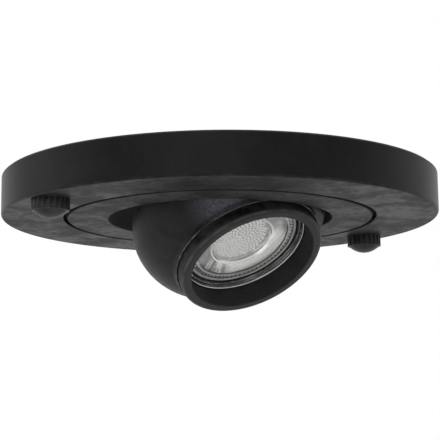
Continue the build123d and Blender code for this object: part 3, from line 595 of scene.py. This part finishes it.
class Bench:
    """Modelling steps on the piece at hand."""

    @staticmethod
    def clear() -> None:
        """Deselects every object."""
        bpy.ops.object.select_all(action="DESELECT")

    @staticmethod
    def take(*pieces: Piece) -> None:
        """Selects only these pieces, the first of them as the active one.

        Args:
            pieces: The pieces in object mode.
        """
        Bench.clear()
        for piece in pieces:
            piece.select_set(True)
        bpy.context.view_layer.objects.active = pieces[0]

    @staticmethod
    def leave() -> None:
        """Goes back to object mode."""
        bpy.ops.object.mode_set(mode="OBJECT")

    @staticmethod
    def pick(piece: Piece, kind: MeshPart, wanted: Callable[[Vector], bool]) -> None:
        """Selects the points by their places, or the faces by their normals.

        Args:
            piece: The piece in edit mode.
            kind: What is selected.
            wanted: Says whether a point at a place or a face with a normal is taken.
        """
        bpy.ops.mesh.select_mode(type=kind.value)
        bpy.ops.mesh.select_all(action="DESELECT")
        mesh = bmesh.from_edit_mesh(piece.data)
        if kind is MeshPart.POINTS:
            for point in mesh.verts:
                point.select_set(wanted(point.co))
        else:
            for face in mesh.faces:
                face.select_set(wanted(face.normal))
        mesh.select_flush_mode()
        bmesh.update_edit_mesh(piece.data)

    @staticmethod
    def shrink(share: float, height: float) -> None:
        """Scales the selection towards the Z axis."""
        bpy.ops.transform.resize(value=(share, share, 1.0), center_override=(0.0, 0.0, height))

    @staticmethod
    def lathe(name: str, steps: int, outline: Rings) -> Piece:
        """Turns an outline about Z by drawing one ring out into the next.

        Args:
            name: The new piece's name.
            steps: How many sides the rings have.
            outline: Radius and height of each ring.

        Returns:
            The piece, left in edit mode with both ends closed.
        """
        Bench.clear()
        radius, height = outline[0]
        bpy.ops.mesh.primitive_circle_add(vertices=steps, radius=radius, fill_type="NOTHING")
        piece = bpy.context.object
        piece.name = name
        piece.data.name = name
        bpy.ops.object.mode_set(mode="EDIT")
        bpy.ops.mesh.select_mode(type="EDGE")
        bpy.ops.mesh.select_all(action="SELECT")
        bpy.ops.transform.translate(value=(0.0, 0.0, height))
        bpy.ops.mesh.edge_face_add()
        for far, level in outline[1:]:
            bpy.ops.mesh.extrude_edges_move(TRANSFORM_OT_translate={"value": (0.0, 0.0, level - height)})
            Bench.shrink(far / radius, level)
            radius, height = far, level
        bpy.ops.mesh.edge_face_add()
        bpy.ops.mesh.select_all(action="SELECT")
        bpy.ops.mesh.normals_make_consistent(inside=False)
        return piece

    @staticmethod
    def soften(piece: Piece, width: float, angle: float) -> None:
        """Rounds a piece's sharp edges and smooths its shading.

        Args:
            piece: The piece in object mode.
            width: The width of the rounding.
            angle: Edges sharper than this are rounded.
        """
        smooth_angle = math.radians(35.0)
        Bench.take(piece)
        rounding = piece.modifiers.new("rounding", "BEVEL")
        rounding.width = width
        rounding.segments = 2
        rounding.limit_method = "ANGLE"
        rounding.angle_limit = angle
        bpy.ops.object.modifier_apply(modifier=rounding.name)
        bpy.ops.object.shade_smooth_by_angle(angle=smooth_angle)

    @staticmethod
    def copy(piece: Piece, shift: Vector) -> Piece:
        """Copies a piece with its own mesh.

        Args:
            piece: What is copied.
            shift: How far the copy is moved.

        Returns:
            The copy.
        """
        Bench.take(piece)
        bpy.ops.object.duplicate(linked=False)
        made = bpy.context.object
        made.location = piece.location + shift
        return made

    @staticmethod
    def settle(piece: Piece) -> None:
        """Puts a piece's place and turn into its mesh."""
        Bench.take(piece)
        bpy.ops.object.transform_apply(location=True, rotation=True, scale=True)


def dress(finish: Finish, *nodes: str) -> None:
    """Gives CAD nodes their finish.

    Args:
        finish: The finish for all of them.
        nodes: The nodes' names.
    """
    for node in nodes:
        holder = frame["nodes"][node]
        if not holder.material_slots:
            holder.data.materials.append(None)
        for slot in holder.material_slots:
            slot.material = finish.material()
        LOG.info("%s dressed in %s", node, finish.name)


FACE = -15.0 * MM
PIVOT = tuple(next(joint["pos_m"] for joint in frame["joints"] if joint["name"] == "tilt"))
TILT = math.radians(35.5)
BEAM = PatternAxis(place=PIVOT, lean=math.pi - TILT)
# The Z part of a normal from which on a face counts as level.
LEVEL = 0.9

ZINC = BareMetal("zinc_plate", bright=(0.5, 0.51, 0.53), dull=(0.33, 0.34, 0.36), sheen=(0.3, 0.52))
STUD = BareMetal("threaded_zinc", ZINC.bright, ZINC.dull, sheen=(0.28, 0.48), pitch=0.7 * MM)
SPRING = BareMetal(
    "spring_steel_bright", bright=(0.52, 0.53, 0.55), dull=(0.34, 0.35, 0.37), sheen=(0.18, 0.36),
)
BRASS = BareMetal("bare_brass", bright=(0.72, 0.53, 0.22), dull=(0.5, 0.35, 0.13), sheen=(0.22, 0.45))
RUBBER = Moulding(
    "black_rubber", dark=(0.012, 0.012, 0.012), pale=(0.03, 0.03, 0.03), sheen=(0.75, 0.92), depth=0.06 * MM,
)
FIBRE = Moulding(
    "dark_fibre", dark=(0.03, 0.02, 0.017), pale=(0.06, 0.042, 0.035), sheen=(0.7, 0.9), patch=1.2 * MM,
)
TERMINAL = Moulding("terminal_white", dark=(0.66, 0.65, 0.6), pale=(0.78, 0.77, 0.72), sheen=(0.38, 0.52))


class CeilingPlate:
    """The parts that stay on the ceiling."""

    def dress(self) -> None:
        """Dresses the mounting ring, its seal and studs, and the terminals."""
        dress(ZINC, "mounting_ring", "stud_nuts", "terminal_screws", "terminal_fixings")
        dress(STUD, "cover_studs")
        dress(RUBBER, "rim_gasket")
        dress(TERMINAL, "terminal_block")
        dress(BRASS, "terminal_clamps")


@dataclass
class Cover:
    """The round cover with its tall rim, the seam round the turntable, and what is fixed to it."""

    radius: float = 80.0 * MM
    seam: float = 57.6 * MM
    pattern_turn: float = math.radians(330.0)

    def dress(self) -> None:
        """Dresses the cover, its carrier ring, the stop post and the friction washer."""
        # A paler band along the cover's lower outer corner: a painted highlight.
        corner_highlight = EdgeWearAndPaintedLight(self.radius, FACE, width=1.1 * MM, colour=(0.022, 0.022, 0.0225))
        # A darker band along the cover's side of the seam: painted shade in the gap.
        painted_shade = EdgeWearAndPaintedLight(self.seam, FACE, width=0.6 * MM, colour=(0.01, 0.01, 0.01))
        coat = BlackCoat(
            "cover_coat", dark=(0.0043, 0.0043, 0.0045), pale=(0.03, 0.0297, 0.0274), sheen=(0.63, 0.43),
            gloss=0.07, patch=15.0 * MM, dust=0.17, axis=PatternAxis(turn=self.pattern_turn),
            edges=(corner_highlight, painted_shade), face=FACE, side=0.36,
        )
        thin = BlackCoat("carrier_coat", dark=(0.005,) * 3, pale=(0.012,) * 3, sheen=(0.7, 0.8), gloss=0.1)
        dress(coat, "cover_ring")
        dress(thin, "carrier_ring")
        dress(ZINC, "pan_stop_post")
        dress(FIBRE, "pan_washer")


@dataclass
class Turntable:
    """The round plate that turns in the cover, with its flange and opening, and what turns with it."""

    flange: float = 56.1 * MM
    opening: float = 41.0 * MM
    pattern_turn: float = math.radians(15.0)

    def dress(self) -> None:
        """Dresses the plate, its springs, clip, stop arm and pivot screws."""
        # A darker band along the turntable's side of the seam: painted shade in the gap.
        painted_shade = EdgeWearAndPaintedLight(self.flange, FACE, width=0.5 * MM, colour=(0.01, 0.01, 0.01))
        lip = EdgeWearAndPaintedLight(self.opening, FACE, width=0.7 * MM, colour=(0.03, 0.03, 0.031))
        coat = BlackCoat(
            "turntable_coat", dark=(0.01, 0.01, 0.0104), pale=(0.052, 0.0515, 0.048), sheen=(0.54, 0.35),
            gloss=0.1, patch=13.0 * MM, axis=PatternAxis(turn=self.pattern_turn), edges=(painted_shade, lip),
            face=FACE, side=0.9,
        )
        dress(coat, "turntable")
        dress(SPRING, "disc_spring", "pan_circlip", "tilt_springs")
        dress(ZINC, "pan_stop_arm", "pivot_screws")


@dataclass
class ThumbNuts:
    """The two ribbed thumb nuts that hold the cover.

    A nut's radius and height are those of its ribbed part. The dome's rings lie at shares of its arc from
    the tip, and each eighth of a rib sinks by its own depth below the crest.
    """

    ribs: int = 20
    radius: float = 6.6 * MM
    height: float = 3.8 * MM
    dome_radius: float = 6.15 * MM
    dome_height: float = 2.5 * MM
    dome_shares: tuple[float, ...] = (0.84, 0.68, 0.52, 0.36, 0.2, 0.08)
    bore_radius: float = 2.0 * MM
    bore_depth: float = 4.4 * MM
    rounding_width: float = 0.18 * MM
    sharp_angle: float = math.radians(50.0)
    stand_off: float = 71.4 * MM
    sinks: tuple[float, ...] = tuple(
        depth * MM for depth in (0.0, 0.0, 0.0, 0.26, 0.44, 0.48, 0.44, 0.26)
    )

    def eighth(self, place: Vector) -> int:
        """Says which eighth of a rib a point belongs to."""
        turn = math.atan2(place.y, place.x) / math.tau
        return round(turn * self.ribs * len(self.sinks)) % len(self.sinks)

    def model(self) -> Piece:
        """Models one nut on the Z axis.

        Returns:
            The nut, in object mode.
        """
        low = FACE - self.height
        steps = self.ribs * len(self.sinks)
        nut = Bench.lathe("ribbed_nut_left", steps, [(self.radius, FACE), (self.radius, low)])
        for index, sink in enumerate(self.sinks):
            if sink:
                Bench.pick(nut, MeshPart.POINTS, lambda place: self.eighth(place) == index)
                Bench.shrink(1.0 - sink / self.radius, 0.0)
        self.dome(nut, low)
        Bench.pick(nut, MeshPart.FACES, lambda normal: normal.z > LEVEL)
        bpy.ops.mesh.inset(thickness=self.radius - self.bore_radius)
        bpy.ops.transform.tosphere(value=1.0, center_override=(0.0, 0.0, FACE))
        bpy.ops.mesh.extrude_region_move(TRANSFORM_OT_translate={"value": (0.0, 0.0, -self.bore_depth)})
        Bench.leave()
        Bench.soften(nut, self.rounding_width, self.sharp_angle)
        return nut

    def dome(self, nut: Piece, low: float) -> None:
        """Draws the lower end out into a dome.

        Args:
            nut: The nut in edit mode.
            low: The height of the ribs' lower end.
        """
        Bench.pick(nut, MeshPart.FACES, lambda normal: normal.z < -LEVEL)
        bpy.ops.mesh.inset(thickness=self.radius - self.dome_radius)
        bpy.ops.transform.tosphere(value=1.0, center_override=(0.0, 0.0, low))
        ball = (self.dome_radius ** 2 + self.dome_height ** 2) / (2.0 * self.dome_height)
        start = math.asin(self.dome_radius / ball)
        radius, height = self.dome_radius, low
        for share in self.dome_shares:
            far = ball * math.sin(start * share)
            level = low - self.dome_height + ball * (1.0 - math.cos(start * share))
            bpy.ops.mesh.extrude_region_move(TRANSFORM_OT_translate={"value": (0.0, 0.0, level - height)})
            Bench.shrink(far / radius, level)
            radius, height = far, level

    def build(self) -> None:
        """Models one nut, copies it, and puts both in place of the CAD nuts."""
        coat = BlackCoat(
            "nut_coat", dark=(0.006, 0.006, 0.0062), pale=(0.022, 0.022, 0.0225), sheen=(0.36, 0.5),
            gloss=0.16, patch=4.0 * MM, grain=0.3 * MM, depth=0.01 * MM,
        )
        left = self.model()
        left.data.materials.append(coat.material())
        right = Bench.copy(left, Vector((self.stand_off, 0.0, 0.0)))
        right.name = "ribbed_nut_right"
        right.data.name = "ribbed_nut_right"
        left.location = Vector((-self.stand_off, 0.0, 0.0))
        for piece, side in ((left, "left"), (right, "right")):
            Bench.settle(piece)
            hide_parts(f"thumb_nut_{side}")
            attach(piece, f"nut_{side}")
            LOG.info("%s modelled", piece.name)


@dataclass
class SwivelHead:
    """The rounded head that tilts in the turntable.

    Fronts are measured forwards from the pivot along the beam. Shade is painted on the bezel's side wall in
    front of the lip, and a highlight is painted along the bezel's edge a little inside its radius and behind
    its front.
    """

    bezel_radius: float = 26.9 * MM
    bezel_front: float = 34.0 * MM
    highlight_inset: float = 0.5 * MM
    highlight_setback: float = 0.6 * MM
    lip_radius: float = 27.5 * MM
    lip_front: float = 29.3 * MM
    painted_shade_rises: tuple[float, float] = (0.3 * MM, 2.0 * MM)
    # A lighter, bluish speckled patch on the head's upper front: partly dust, partly a painted reflection of
    # the plate above.
    dust: DustAndHighlightPatch = DustAndHighlightPatch(
        place=(-20.0 * MM, 20.0 * MM, 24.0 * MM), reach=15.0 * MM, colour=(0.075, 0.075, 0.09),
    )

    def bezel_edges(self) -> tuple[EdgeWearAndPaintedLight, ...]:
        """Finds where shade and a highlight are painted on the bezel.

        Returns:
            Its painted shade behind and its painted highlight at the front.
        """
        # Two dark bands over the bezel's side wall in front of the lip: painted shade.
        painted_shade = [
            EdgeWearAndPaintedLight(self.bezel_radius, self.lip_front + rise, width=2.6 * MM, colour=(0.002, 0.002, 0.002))
            for rise in self.painted_shade_rises
        ]
        # A paler band along the bezel's rounded front edge: a painted highlight.
        radius = self.bezel_radius - self.highlight_inset
        height = self.bezel_front - self.highlight_setback
        return (*painted_shade, EdgeWearAndPaintedLight(radius, height, width=0.8 * MM, colour=(0.055, 0.055, 0.056)))

    def dress(self) -> None:
        """Dresses the head's shell, bezel, bushes, washers and back."""
        # A bright thin line along the head's lip: a painted highlight.
        lip = EdgeWearAndPaintedLight(self.lip_radius, self.lip_front, width=0.5 * MM, colour=(0.17, 0.17, 0.172))
        shell = BlackCoat(
            "head_coat", dark=(0.006, 0.006, 0.0064), pale=(0.014, 0.0142, 0.0149), sheen=(0.42, 0.52),
            gloss=0.13, patch=7.0 * MM, depth=0.012 * MM, axis=BEAM, edges=(lip,), patches=(self.dust,),
        )
        ring = BlackCoat(
            "bezel_coat", dark=(0.018, 0.018, 0.0185), pale=(0.027, 0.027, 0.0276), sheen=(0.42, 0.55),
            gloss=0.11, patch=6.0 * MM, depth=0.01 * MM, axis=BEAM, edges=self.bezel_edges(),
        )
        machined = BareMetal(
            "machined_aluminium", bright=(0.4, 0.405, 0.41), dull=(0.27, 0.275, 0.28), sheen=(0.34, 0.52),
            streak=0.5 * MM, axis=BEAM,
        )
        dress(shell, "ball_shell")
        dress(ring, "bezel")
        dress(machined, "heat_sink")
        dress(ZINC, "heat_sink_screws")
        dress(BRASS, "pivot_bushes")
        dress(FIBRE, "tilt_washers")
        dress(RUBBER, "back_gasket", "lead_grommet")


class LensPart(IntEnum):
    """The parts of the lens that differ in finish, in the order of its slots."""

    CLEAR = 0
    GAPS = 1
    SILVER = 2
    EDGE = 3
    RINGS = 4


@dataclass(frozen=True)
class Groove:
    """A round groove in the lens's front, between two radii, whose walls lean outwards by the slope."""

    start: float
    end: float
    depth: float
    slope: float = 0.25 * MM

    def rings(self, front: float) -> Rings:
        """Shapes the groove.

        Args:
            front: The height that it is cut down from.

        Returns:
            Radius and height of its four edges.
        """
        low = front - self.depth
        floor = [(self.start + self.slope, low), (self.end - self.slope, low)]
        return [(self.start, front), *floor, (self.end, front)]

    def has_on_floor(self, reach: float) -> bool:
        """Says whether a radius lies on its floor, give or take a part of its walls."""
        wall = 0.8 * self.slope
        return self.start + wall < reach < self.end - wall


@dataclass
class LampFront:
    """The lens, its glass and the light behind it.

    Fronts, backs and the tail are measured forwards from the pivot along the beam, and radii from its axis.
    The rounded edge lies round the pebbled middle, and each pebble is the cap of a ball.
    """

    sides: int = 144
    front: float = 22.2 * MM
    radius: float = 21.2 * MM
    bevel: float = 0.3 * MM
    flange_radius: float = 24.6 * MM
    flange_front: float = 19.2 * MM
    flange_back: float = 17.5 * MM
    back_radius: float = 20.8 * MM
    tail_radius: float = 6.5 * MM
    tail: float = 9.3 * MM
    back_bulge: float = 0.6 * MM
    back_steps: int = 6
    well_radius: float = 4.5 * MM
    well_depth: float = 3.4 * MM
    inner_groove: Groove = Groove(start=16.7 * MM, end=17.75 * MM, depth=0.4 * MM)
    beaded_groove: Groove = Groove(start=18.6 * MM, end=19.95 * MM, depth=0.45 * MM)
    bead_height: float = 0.3 * MM
    middle_radius: float = 10.8 * MM
    middle_front: float = 20.2 * MM
    edge_width: float = 1.4 * MM
    edge_steps: int = 4
    crease_angle: float = math.radians(20.0)
    pebble_pitch: float = 1.35 * MM
    pebble_ball_radius: float = 0.76 * MM
    pebble_radius: float = 0.6 * MM
    pebble_root: float = 0.05 * MM
    seal_reflection_radius: float = 22.3 * MM
    seal_reflection_front: float = 22.4 * MM

    def edge_rings(self) -> Rings:
        """Rounds the edge of the middle.

        Returns:
            Radius and height of the edge's rings, from the middle outwards.
        """
        rings = []
        for step in range(self.edge_steps + 1):
            turn = math.pi / 2.0 * step / self.edge_steps
            radius = self.middle_radius + self.edge_width * (1.0 - math.cos(turn))
            rings.append((radius, self.middle_front + (self.front - self.middle_front) * math.sin(turn)))
        return rings

    def back_rings(self) -> Rings:
        """Swells the silvered back.

        Returns:
            Radius and height of the back's rings, from the flange to the tail.
        """
        rings = []
        for step in range(self.back_steps + 1):
            share = step / self.back_steps
            radius = self.back_radius + (self.tail_radius - self.back_radius) * share
            height = self.flange_back + (self.tail - self.flange_back) * share
            rings.append((radius + self.back_bulge * math.sin(math.pi * share), height))
        return rings

    def outline(self) -> Rings:
        """Joins the lens's rings.

        Returns:
            Radius and height of every ring, from the pebbled middle round to the chip's well.
        """
        return [
            *self.edge_rings(),
            *self.inner_groove.rings(self.front),
            *self.beaded_groove.rings(self.front),
            (self.radius - self.bevel, self.front),
            (self.radius, self.front - self.bevel),
            (self.radius, self.flange_front),
            (self.flange_radius, self.flange_front),
            (self.flange_radius, self.flange_back),
            *self.back_rings(),
            (self.well_radius, self.tail),
            (self.well_radius, self.tail + self.well_depth),
        ]

    def side(self, place: Vector) -> float:
        """Says how many sides of a ring lie before a place."""
        return math.atan2(place.y, place.x) / math.tau * self.sides

    def is_bead_top(self, place: Vector) -> bool:
        """Says whether a point is the top of a bead."""
        on_floor = self.beaded_groove.has_on_floor(place.xy.length)
        return on_floor and place.z > self.middle_front and round(self.side(place)) % 2 == 0

    def part_of(self, face: bpy.types.MeshPolygon) -> LensPart:
        """Says which part of the lens a face belongs to.

        Args:
            face: The face, on the Z axis.

        Returns:
            The part, whose number is that of its slot.
        """
        reach = face.center.xy.length
        if face.center.z < (self.flange_front + self.middle_front) / 2.0:
            over_chip = reach < self.tail_radius and face.normal.z < -LEVEL
            return LensPart.CLEAR if over_chip or face.normal.z > LEVEL else LensPart.SILVER
        if reach < self.middle_radius + self.edge_width:
            return LensPart.GAPS if reach < self.middle_radius else LensPart.EDGE
        # Every other bead and the flat rings get a milky finish: painted highlights.
        bead = self.beaded_groove.has_on_floor(reach) and math.floor(self.side(face.center)) % 2 == 0
        level = face.normal.z > LEVEL and face.center.z > self.front - self.bevel / 2.0
        raised = level and reach > self.inner_groove.end
        return LensPart.RINGS if bead or raised else LensPart.CLEAR

    def finishes(self) -> dict[LensPart, Finish]:
        """Chooses the finishes of the lens.

        Returns:
            The finish of each part, in the order of the lens's slots.
        """
        # A pale patch over the lower part of the pebbled middle, lightening the gaps: a painted highlight.
        painted_highlight = DustAndHighlightPatch(
            place=(0.0, -6.0 * MM, self.middle_front), reach=11.0 * MM, colour=(1.0, 1.0, 0.98),
        )
        return {
            LensPart.CLEAR: ClearPane(
                "lens_clear", tint=(0.99, 0.99, 0.98), bend=1.25, sheen=(0.01, 0.05), clear=0.86, axis=BEAM,
            ),
            # The gaps between the pebbles are dark grey: painted shade between them.
            LensPart.GAPS: ClearPane(
                "lens_between_pebbles_painted_shade", tint=(0.38, 0.38, 0.37), bend=1.49, sheen=(0.2, 0.3), clear=0.2,
                axis=BEAM, patches=(painted_highlight,),
            ),
            # Dark streaks on the silver, strongest on one side: painted reflections of the facets.
            LensPart.SILVER: SilverBack(
                "lens_silver", plain=(0.77, 0.77, 0.75), streak=(0.05, 0.05, 0.048), count=45,
                side=math.radians(-122.0), window=(0.5, 0.85), least=0.03, sheen=(0.2, 0.3), axis=BEAM,
            ),
            # A white streak on the rounded edge round the middle, on one side only: a painted highlight.
            LensPart.EDGE: SilverBack(
                "lens_edge_painted_highlight", plain=(0.6, 0.6, 0.585), streak=(1.0, 1.0, 0.98), count=5,
                side=math.radians(2.0), window=(0.75, 0.93), least=0.0, sheen=(0.2, 0.08), axis=BEAM,
            ),
            # Milky flat rings and beads on the lens's front: painted highlights.
            LensPart.RINGS: ClearPane(
                "lens_rings_painted_highlight", tint=(0.97, 0.97, 0.95), bend=1.49, sheen=(0.05, 0.12), clear=0.3, axis=BEAM,
            ),
        }

    def model_lens(self) -> Piece:
        """Models the lens on the Z axis.

        Returns:
            The lens with its finishes, in object mode, without its pebbles.
        """
        lens = Bench.lathe("lens_body", self.sides, self.outline())
        Bench.pick(lens, MeshPart.POINTS, self.is_bead_top)
        bpy.ops.transform.translate(value=(0.0, 0.0, self.bead_height))
        Bench.leave()
        for finish in self.finishes().values():
            lens.data.materials.append(finish.material())
        for face in lens.data.polygons:
            face.material_index = self.part_of(face)
        Bench.take(lens)
        bpy.ops.object.shade_smooth_by_angle(angle=self.crease_angle)
        return lens

    def model_pebble(self) -> Piece:
        """Models one pebble at the middle of the lens.

        Returns:
            The pebble with its finish, in object mode.
        """
        Bench.clear()
        sink = math.sqrt(self.pebble_ball_radius ** 2 - self.pebble_radius ** 2)
        root = (0.0, 0.0, sink - self.pebble_root)
        bpy.ops.mesh.primitive_uv_sphere_add(segments=10, ring_count=8, radius=self.pebble_ball_radius)
        pebble = bpy.context.object
        pebble.name = "pebble"
        bpy.ops.object.mode_set(mode="EDIT")
        bpy.ops.mesh.select_all(action="SELECT")
        bpy.ops.mesh.bisect(plane_co=root, plane_no=(0.0, 0.0, 1.0), use_fill=True, clear_inner=True)
        bpy.ops.mesh.select_all(action="SELECT")
        bpy.ops.transform.translate(value=(0.0, 0.0, self.middle_front - sink))
        Bench.leave()
        bpy.ops.object.shade_smooth()
        milky = ClearPane(
            "lens_pebbled", tint=(0.99, 0.99, 0.97), bend=1.49, sheen=(0.03, 0.08), clear=0.05, axis=BEAM,
        )
        pebble.data.materials.append(milky.material())
        return pebble

    def places(self) -> list[Vector]:
        """Spreads the pebbles evenly over the middle.

        Returns:
            Their middles but for the first one's, on curved rows that run out from there.
        """
        # Each pebble has as much room as in a honeycomb with this pitch.
        spacing = self.pebble_pitch * math.sqrt(math.sqrt(0.75) / math.pi)
        reach = self.middle_radius - self.pebble_radius
        golden_turn = math.pi * (3.0 - math.sqrt(5.0))
        found = []
        for index in range(1, int((reach / spacing) ** 2)):
            far = spacing * math.sqrt(index)
            turn = index * golden_turn
            found.append(Vector((far * math.cos(turn), far * math.sin(turn), 0.0)))
        return found

    def build(self) -> None:
        """Models the lens with its pebbles and puts it in place of the CAD lens."""
        lens = self.model_lens()
        pebble = self.model_pebble()
        pebbles = [pebble] + [Bench.copy(pebble, place) for place in self.places()]
        for piece in pebbles:
            Bench.settle(piece)
        Bench.take(lens, *pebbles)
        bpy.ops.object.join()
        lens.rotation_euler = (BEAM.lean, 0.0, 0.0)
        lens.location = BEAM.place
        Bench.settle(lens)
        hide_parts("optic")
        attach(lens, "head")
        LOG.info("%s modelled with %d pebbles", lens.name, len(pebbles))

    def dress(self) -> None:
        """Dresses the glass, its ring and seal, and the light source."""
        glass = ClearPane(
            "front_glass_clear", tint=(0.995, 1.0, 0.997), bend=1.5, sheen=(0.0, 0.02), clear=1.0, axis=BEAM,
        )
        wire = BareMetal(
            "wire_bright", bright=(0.36, 0.36, 0.37), dull=(0.24, 0.24, 0.25), sheen=(0.08, 0.16),
            streak=0.3 * MM, axis=BEAM,
        )
        # A white line on the seal below the glass's edge: a painted reflection of the wire ring in the
        # glass.
        lip = EdgeWearAndPaintedLight(self.seal_reflection_radius, self.seal_reflection_front, width=0.5 * MM, colour=(0.95, 0.95, 0.93))
        seal = Moulding("seal_rubber", RUBBER.dark, RUBBER.pale, sheen=(0.5, 0.7), axis=BEAM, edges=(lip,))
        holder = Moulding(
            "holder_silver", dark=(0.5, 0.51, 0.52), pale=(0.62, 0.63, 0.64), sheen=(0.2, 0.35), axis=BEAM,
        )
        phosphor = Moulding(
            "phosphor", dark=(0.75, 0.55, 0.1), pale=(0.85, 0.68, 0.2), sheen=(0.4, 0.6), axis=BEAM,
        )
        board = Moulding(
            "solder_mask_white", dark=(0.72, 0.72, 0.7), pale=(0.8, 0.8, 0.79), sheen=(0.3, 0.42),
        )
        dress(glass, "front_glass")
        dress(wire, "glass_ring")
        dress(seal, "glass_seal")
        dress(holder, "optic_holder")
        dress(phosphor, "led_chip")
        dress(board, "led_board")
        dress(ZINC, "board_screws")


@dataclass(frozen=True)
class Softbox:
    """A large soft light that looks at the object.

    Its place says how far it stands to the right of, behind and above the object, as the camera sees it.
    Its power is in watts.
    """

    name: str
    place: Place
    size: float
    power: float

    def build(self, azimuth: float) -> None:
        """Adds the light.

        Args:
            azimuth: The camera's turn about Z.
        """
        Bench.clear()
        turned = Matrix.Rotation(azimuth, 4, "Z") @ Vector(self.place)
        bpy.ops.object.light_add(type="AREA", location=turned)
        box = bpy.context.object
        box.name = self.name
        box.data.size = self.size
        box.data.energy = self.power
        box.rotation_euler = (-turned).to_track_quat("-Z", "Y").to_euler()


@dataclass
class Studio:
    """The pale floor, the soft light and the camera.

    The camera's distance is that from the middle of the lower face, and its lens and sensor are in
    millimetres. The ambient value is the world's strength as soft light.
    """

    floor_height: float = -0.18
    floor_radius: float = 3.0
    azimuth: float = math.radians(-36.4)
    elevation: float = math.radians(-9.99)
    distance: float = 0.51107
    lens: float = 113.13
    sensor: float = 36.0
    roll: float = math.radians(-0.55)
    ambient: float = 1.08
    softboxes: tuple[Softbox, ...] = (
        Softbox("softbox_left", place=(-1.05, -0.1, 0.25), size=0.8, power=2.0),
        Softbox("softbox_right", place=(1.05, 0.1, 0.2), size=0.8, power=0.6),
        Softbox("softbox_front", place=(-0.2, -1.2, 0.5), size=0.9, power=4.0),
    )

    def build(self) -> None:
        """Sets up the floor, the world, the lights and the camera."""
        bpy.context.scene.view_settings.view_transform = "Standard"
        self.lay_floor()
        self.light_world()
        for softbox in self.softboxes:
            softbox.build(self.azimuth)
        self.place_camera()
        LOG.info("studio set up")

    def lay_floor(self) -> None:
        """Lays a wide pale floor below the object."""
        Bench.clear()
        middle = (0.0, 0.0, self.floor_height)
        bpy.ops.mesh.primitive_circle_add(
            vertices=96, radius=self.floor_radius, fill_type="NGON", location=middle,
        )
        floor = bpy.context.object
        floor.name = "studio_floor"
        paint = Moulding(
            "floor_paint", dark=(0.86,) * 3, pale=(0.9,) * 3, sheen=(0.85, 0.95), patch=0.4, grain=3.0 * MM,
        )
        floor.data.materials.append(paint.material())

    def light_world(self) -> None:
        """Makes the world white to the eye and a little stronger as soft light."""
        world = bpy.data.worlds.new("studio_world")
        world.use_nodes = True
        graph = NodeGraph(world.node_tree)
        rays = graph.node("ShaderNodeLightPath", {})
        seen = graph.math("MAXIMUM", rays["Is Camera Ray"], rays["Is Glossy Ray"])
        seen = graph.math("MAXIMUM", seen, rays["Is Transmission Ray"])
        backdrop = world.node_tree.nodes["Background"].inputs
        graph.feed(backdrop["Color"], (1.0, 1.0, 1.0))
        graph.feed(backdrop["Strength"], graph.spread(seen, 0.0, 1.0, self.ambient, 1.0))
        bpy.context.scene.world = world

    def place_camera(self) -> None:
        """Puts the camera where the photograph was taken from."""
        target = Vector((0.0, 0.0, FACE))
        level = math.cos(self.elevation)
        back = Vector((
            math.sin(self.azimuth) * level, -math.cos(self.azimuth) * level, math.sin(self.elevation),
        ))
        data = bpy.data.cameras.new("photo_camera")
        data.lens = self.lens
        data.sensor_width = self.sensor
        camera = bpy.data.objects.new("photo_camera", data)
        bpy.context.scene.collection.objects.link(camera)
        look = (-back).to_track_quat("-Z", "Y").to_matrix().to_4x4()
        place = Matrix.Translation(target + self.distance * back)
        camera.matrix_world = place @ look @ Matrix.Rotation(self.roll, 4, "Z")
        bpy.context.scene.camera = camera


def main() -> None:
    """Builds and dresses the spotlight, part by part."""
    logging.basicConfig(level=logging.INFO, format="%(message)s")
    Studio().build()
    CeilingPlate().dress()
    Cover().dress()
    Turntable().dress()
    ThumbNuts().build()
    SwivelHead().dress()
    front = LampFront()
    front.build()
    front.dress()


if __name__ == "__main__":
    main()
